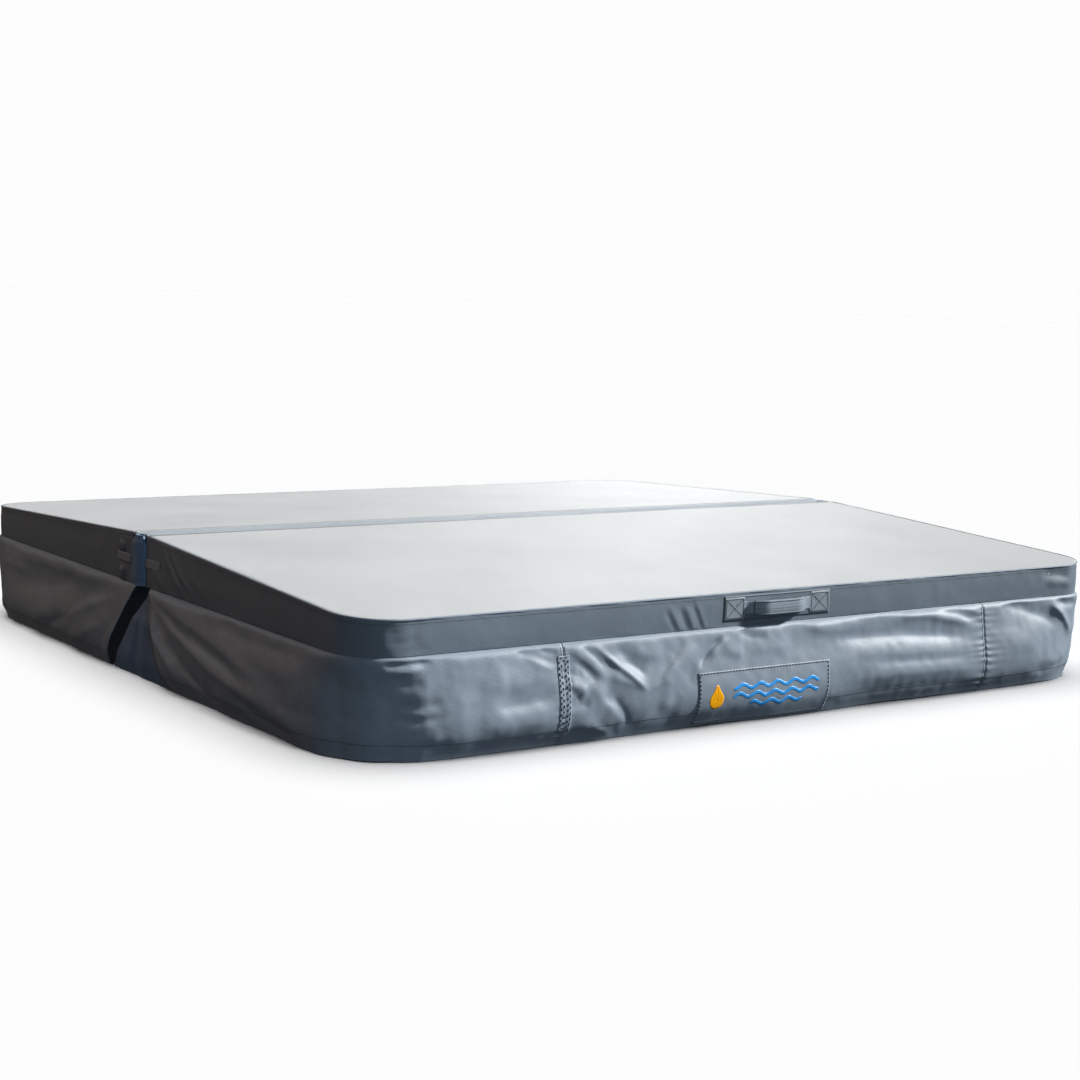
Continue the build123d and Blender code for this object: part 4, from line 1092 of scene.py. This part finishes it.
# Tie-down straps: webbing sewn behind the skirt at each panel seam, with a moulded clip below.
for half, side in halves.items():
    for hand in hands:
        tie_low, tie_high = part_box(f"tie_strap_{half}_{hand}")
        middle = (tie_low.y + tie_high.y) / 2
        levels = np.linspace(tie_low.z, tie_high.z - 0.5 * mm, 40)
        x, z = np.meshgrid(np.linspace(tie_low.x, tie_high.x, 9), levels)
        rise = z - tie_low.z
        y = middle + side * (0.6 * mm + 0.5 * mm * np.sin(rise * 60) * smooth(rise / (20 * mm)))
        tie = build(f"tie_strap_{half}_{hand}_webbing", (x, y, z), (z, x), 1.3 * mm,
                    (0, side, 0))
        paint(tie, webbing, f"tie_{half}_{hand}", f"tie_strap_{half}_{hand}")
        dress(f"tie_clip_{half}_{hand}", plastic)

# Lifting handle: a backing patch on the front rim, a webbing strap sewn down at both ends with a
# boxed cross, and a padded grip with piped edges round the strap's bow.
back_low, back_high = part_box("handle_backing")
x, z = np.meshgrid(np.linspace(back_low.x, back_high.x, 90), np.linspace(back_low.z, back_high.z, 18))
drop = underside - z
y = -(half_depth + rim_out("front", x, drop) + 0.9 * mm + 0.25 * mm * cloud(x, z, 20 * mm, 101))
backing = build("handle_backing_cloth", (x, y, z), (x, z), 0.8 * mm, (0, -1, 0))
paint(backing, slate, "front_half", "handle_backing")

strap_low, strap_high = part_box("handle_strap")
pad_end, pad_length = strap_high.x, 57 * mm
bow_end = pad_end - pad_length
stand, bow_depth, bow_ramp = 2.4 * mm, 19 * mm, 55 * mm


def handle_out(x):
    """How far the strap stands off the rim's line: flat at its pads, and bowed out between them."""
    return half_depth + stand + bow_depth * smooth((bow_end - np.abs(x)) / bow_ramp)


x, share = np.meshgrid(np.linspace(-pad_end, pad_end, 150), np.linspace(-1, 1, 13))
half_height = 14 * mm + 10.5 * mm * smooth((np.abs(x) - bow_end + 1 * mm) / (4 * mm))
middle_z = (strap_low.z + strap_high.z) / 2
y = -(handle_out(x) + 0.35 * mm * cloud(x, share * 20 * mm, 18 * mm, 103))
z = middle_z + share * half_height
strap = build("handle_strap_webbing", (x, y, z), (x, z), 1.3 * mm, (0, -1, 0))
paint(strap, webbing, "front_half", "handle_strap")

grip_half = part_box("handle_grip")[1].x
x, angle = tube(np.linspace(-grip_half, grip_half, 70), 48)
end_ease = 0.8 + 0.2 * np.sqrt(smooth((grip_half - np.abs(x)) / (5 * mm)))
rib = 1 + 0.02 * np.cos(2 * pi * x / (6 * mm))
flat_round = np.sign(np.cos(angle)) * np.abs(np.cos(angle)) ** 0.7
y = 0.8 * mm - handle_out(x) - 4.6 * mm * end_ease * rib * flat_round
z = middle_z + 16.2 * mm * end_ease * np.sign(np.sin(angle)) * np.abs(np.sin(angle)) ** 0.75
grip = build("handle_grip_pad", (x, y, z), (x, angle * 12 * mm), wrap=(0, 2 * pi * 12 * mm))
paint(grip, webbing, "front_half", "handle_grip")

cord_x, angle = tube(np.linspace(-grip_half + 2 * mm, grip_half - 2 * mm, 60), 8)
for name, level_z in (("upper", 13.5 * mm), ("lower", -13.5 * mm)):
    y = -handle_out(cord_x) - 3.0 * mm - 1.3 * mm * np.cos(angle)
    z = middle_z + level_z + 1.5 * mm * np.sin(angle)
    bead = build(f"handle_grip_piping_{name}", (cord_x, y, z), (cord_x, angle * 1.5 * mm), wrap=(0, 9 * mm))
    paint(bead, slate, "front_half")

face = half_depth + stand + 0.3 * mm
lines = []
for sign in (-1, 1):
    inner_x, outer_x = sign * (bow_end + 5 * mm), sign * (pad_end - 4 * mm)
    low_z, high_z = middle_z - 20.5 * mm, middle_z + 20.5 * mm
    box_route = [(inner_x, low_z), (outer_x, low_z), (outer_x, high_z), (inner_x, high_z), (inner_x, low_z)]
    cross_routes = [box_route, [(inner_x, low_z), (outer_x, high_z)], [(outer_x, low_z), (inner_x, high_z)]]
    for route in cross_routes:
        for start, end in zip(route, route[1:]):
            lines.append(np.array([(start[0], -face, start[1]), (end[0], -face, end[1])]))
stitches("handle_cross_stitches", lines, (0, -1, 0), "front_half", 4.6 * mm, 3.6 * mm, 0.7 * mm)
edge = []
edge_left, edge_right = back_low.x + 3 * mm, back_high.x - 3 * mm
edge_foot, edge_head = back_low.z + 3 * mm, back_high.z - 3 * mm
corners = [(edge_left, edge_foot), (edge_right, edge_foot), (edge_right, edge_head), (edge_left, edge_head)]
for start, end in zip(corners, corners[1:] + corners[:1]):
    run, rise = np.linspace(start, end, 60).T
    edge_face = half_depth + rim_out("front", run, underside - rise) + 1.2 * mm
    edge.append(np.stack((run, -edge_face, rise), -1))
stitches("handle_backing_stitches", edge, (0, -1, 0), "front_half", 5 * mm, 4 * mm, 0.8 * mm)
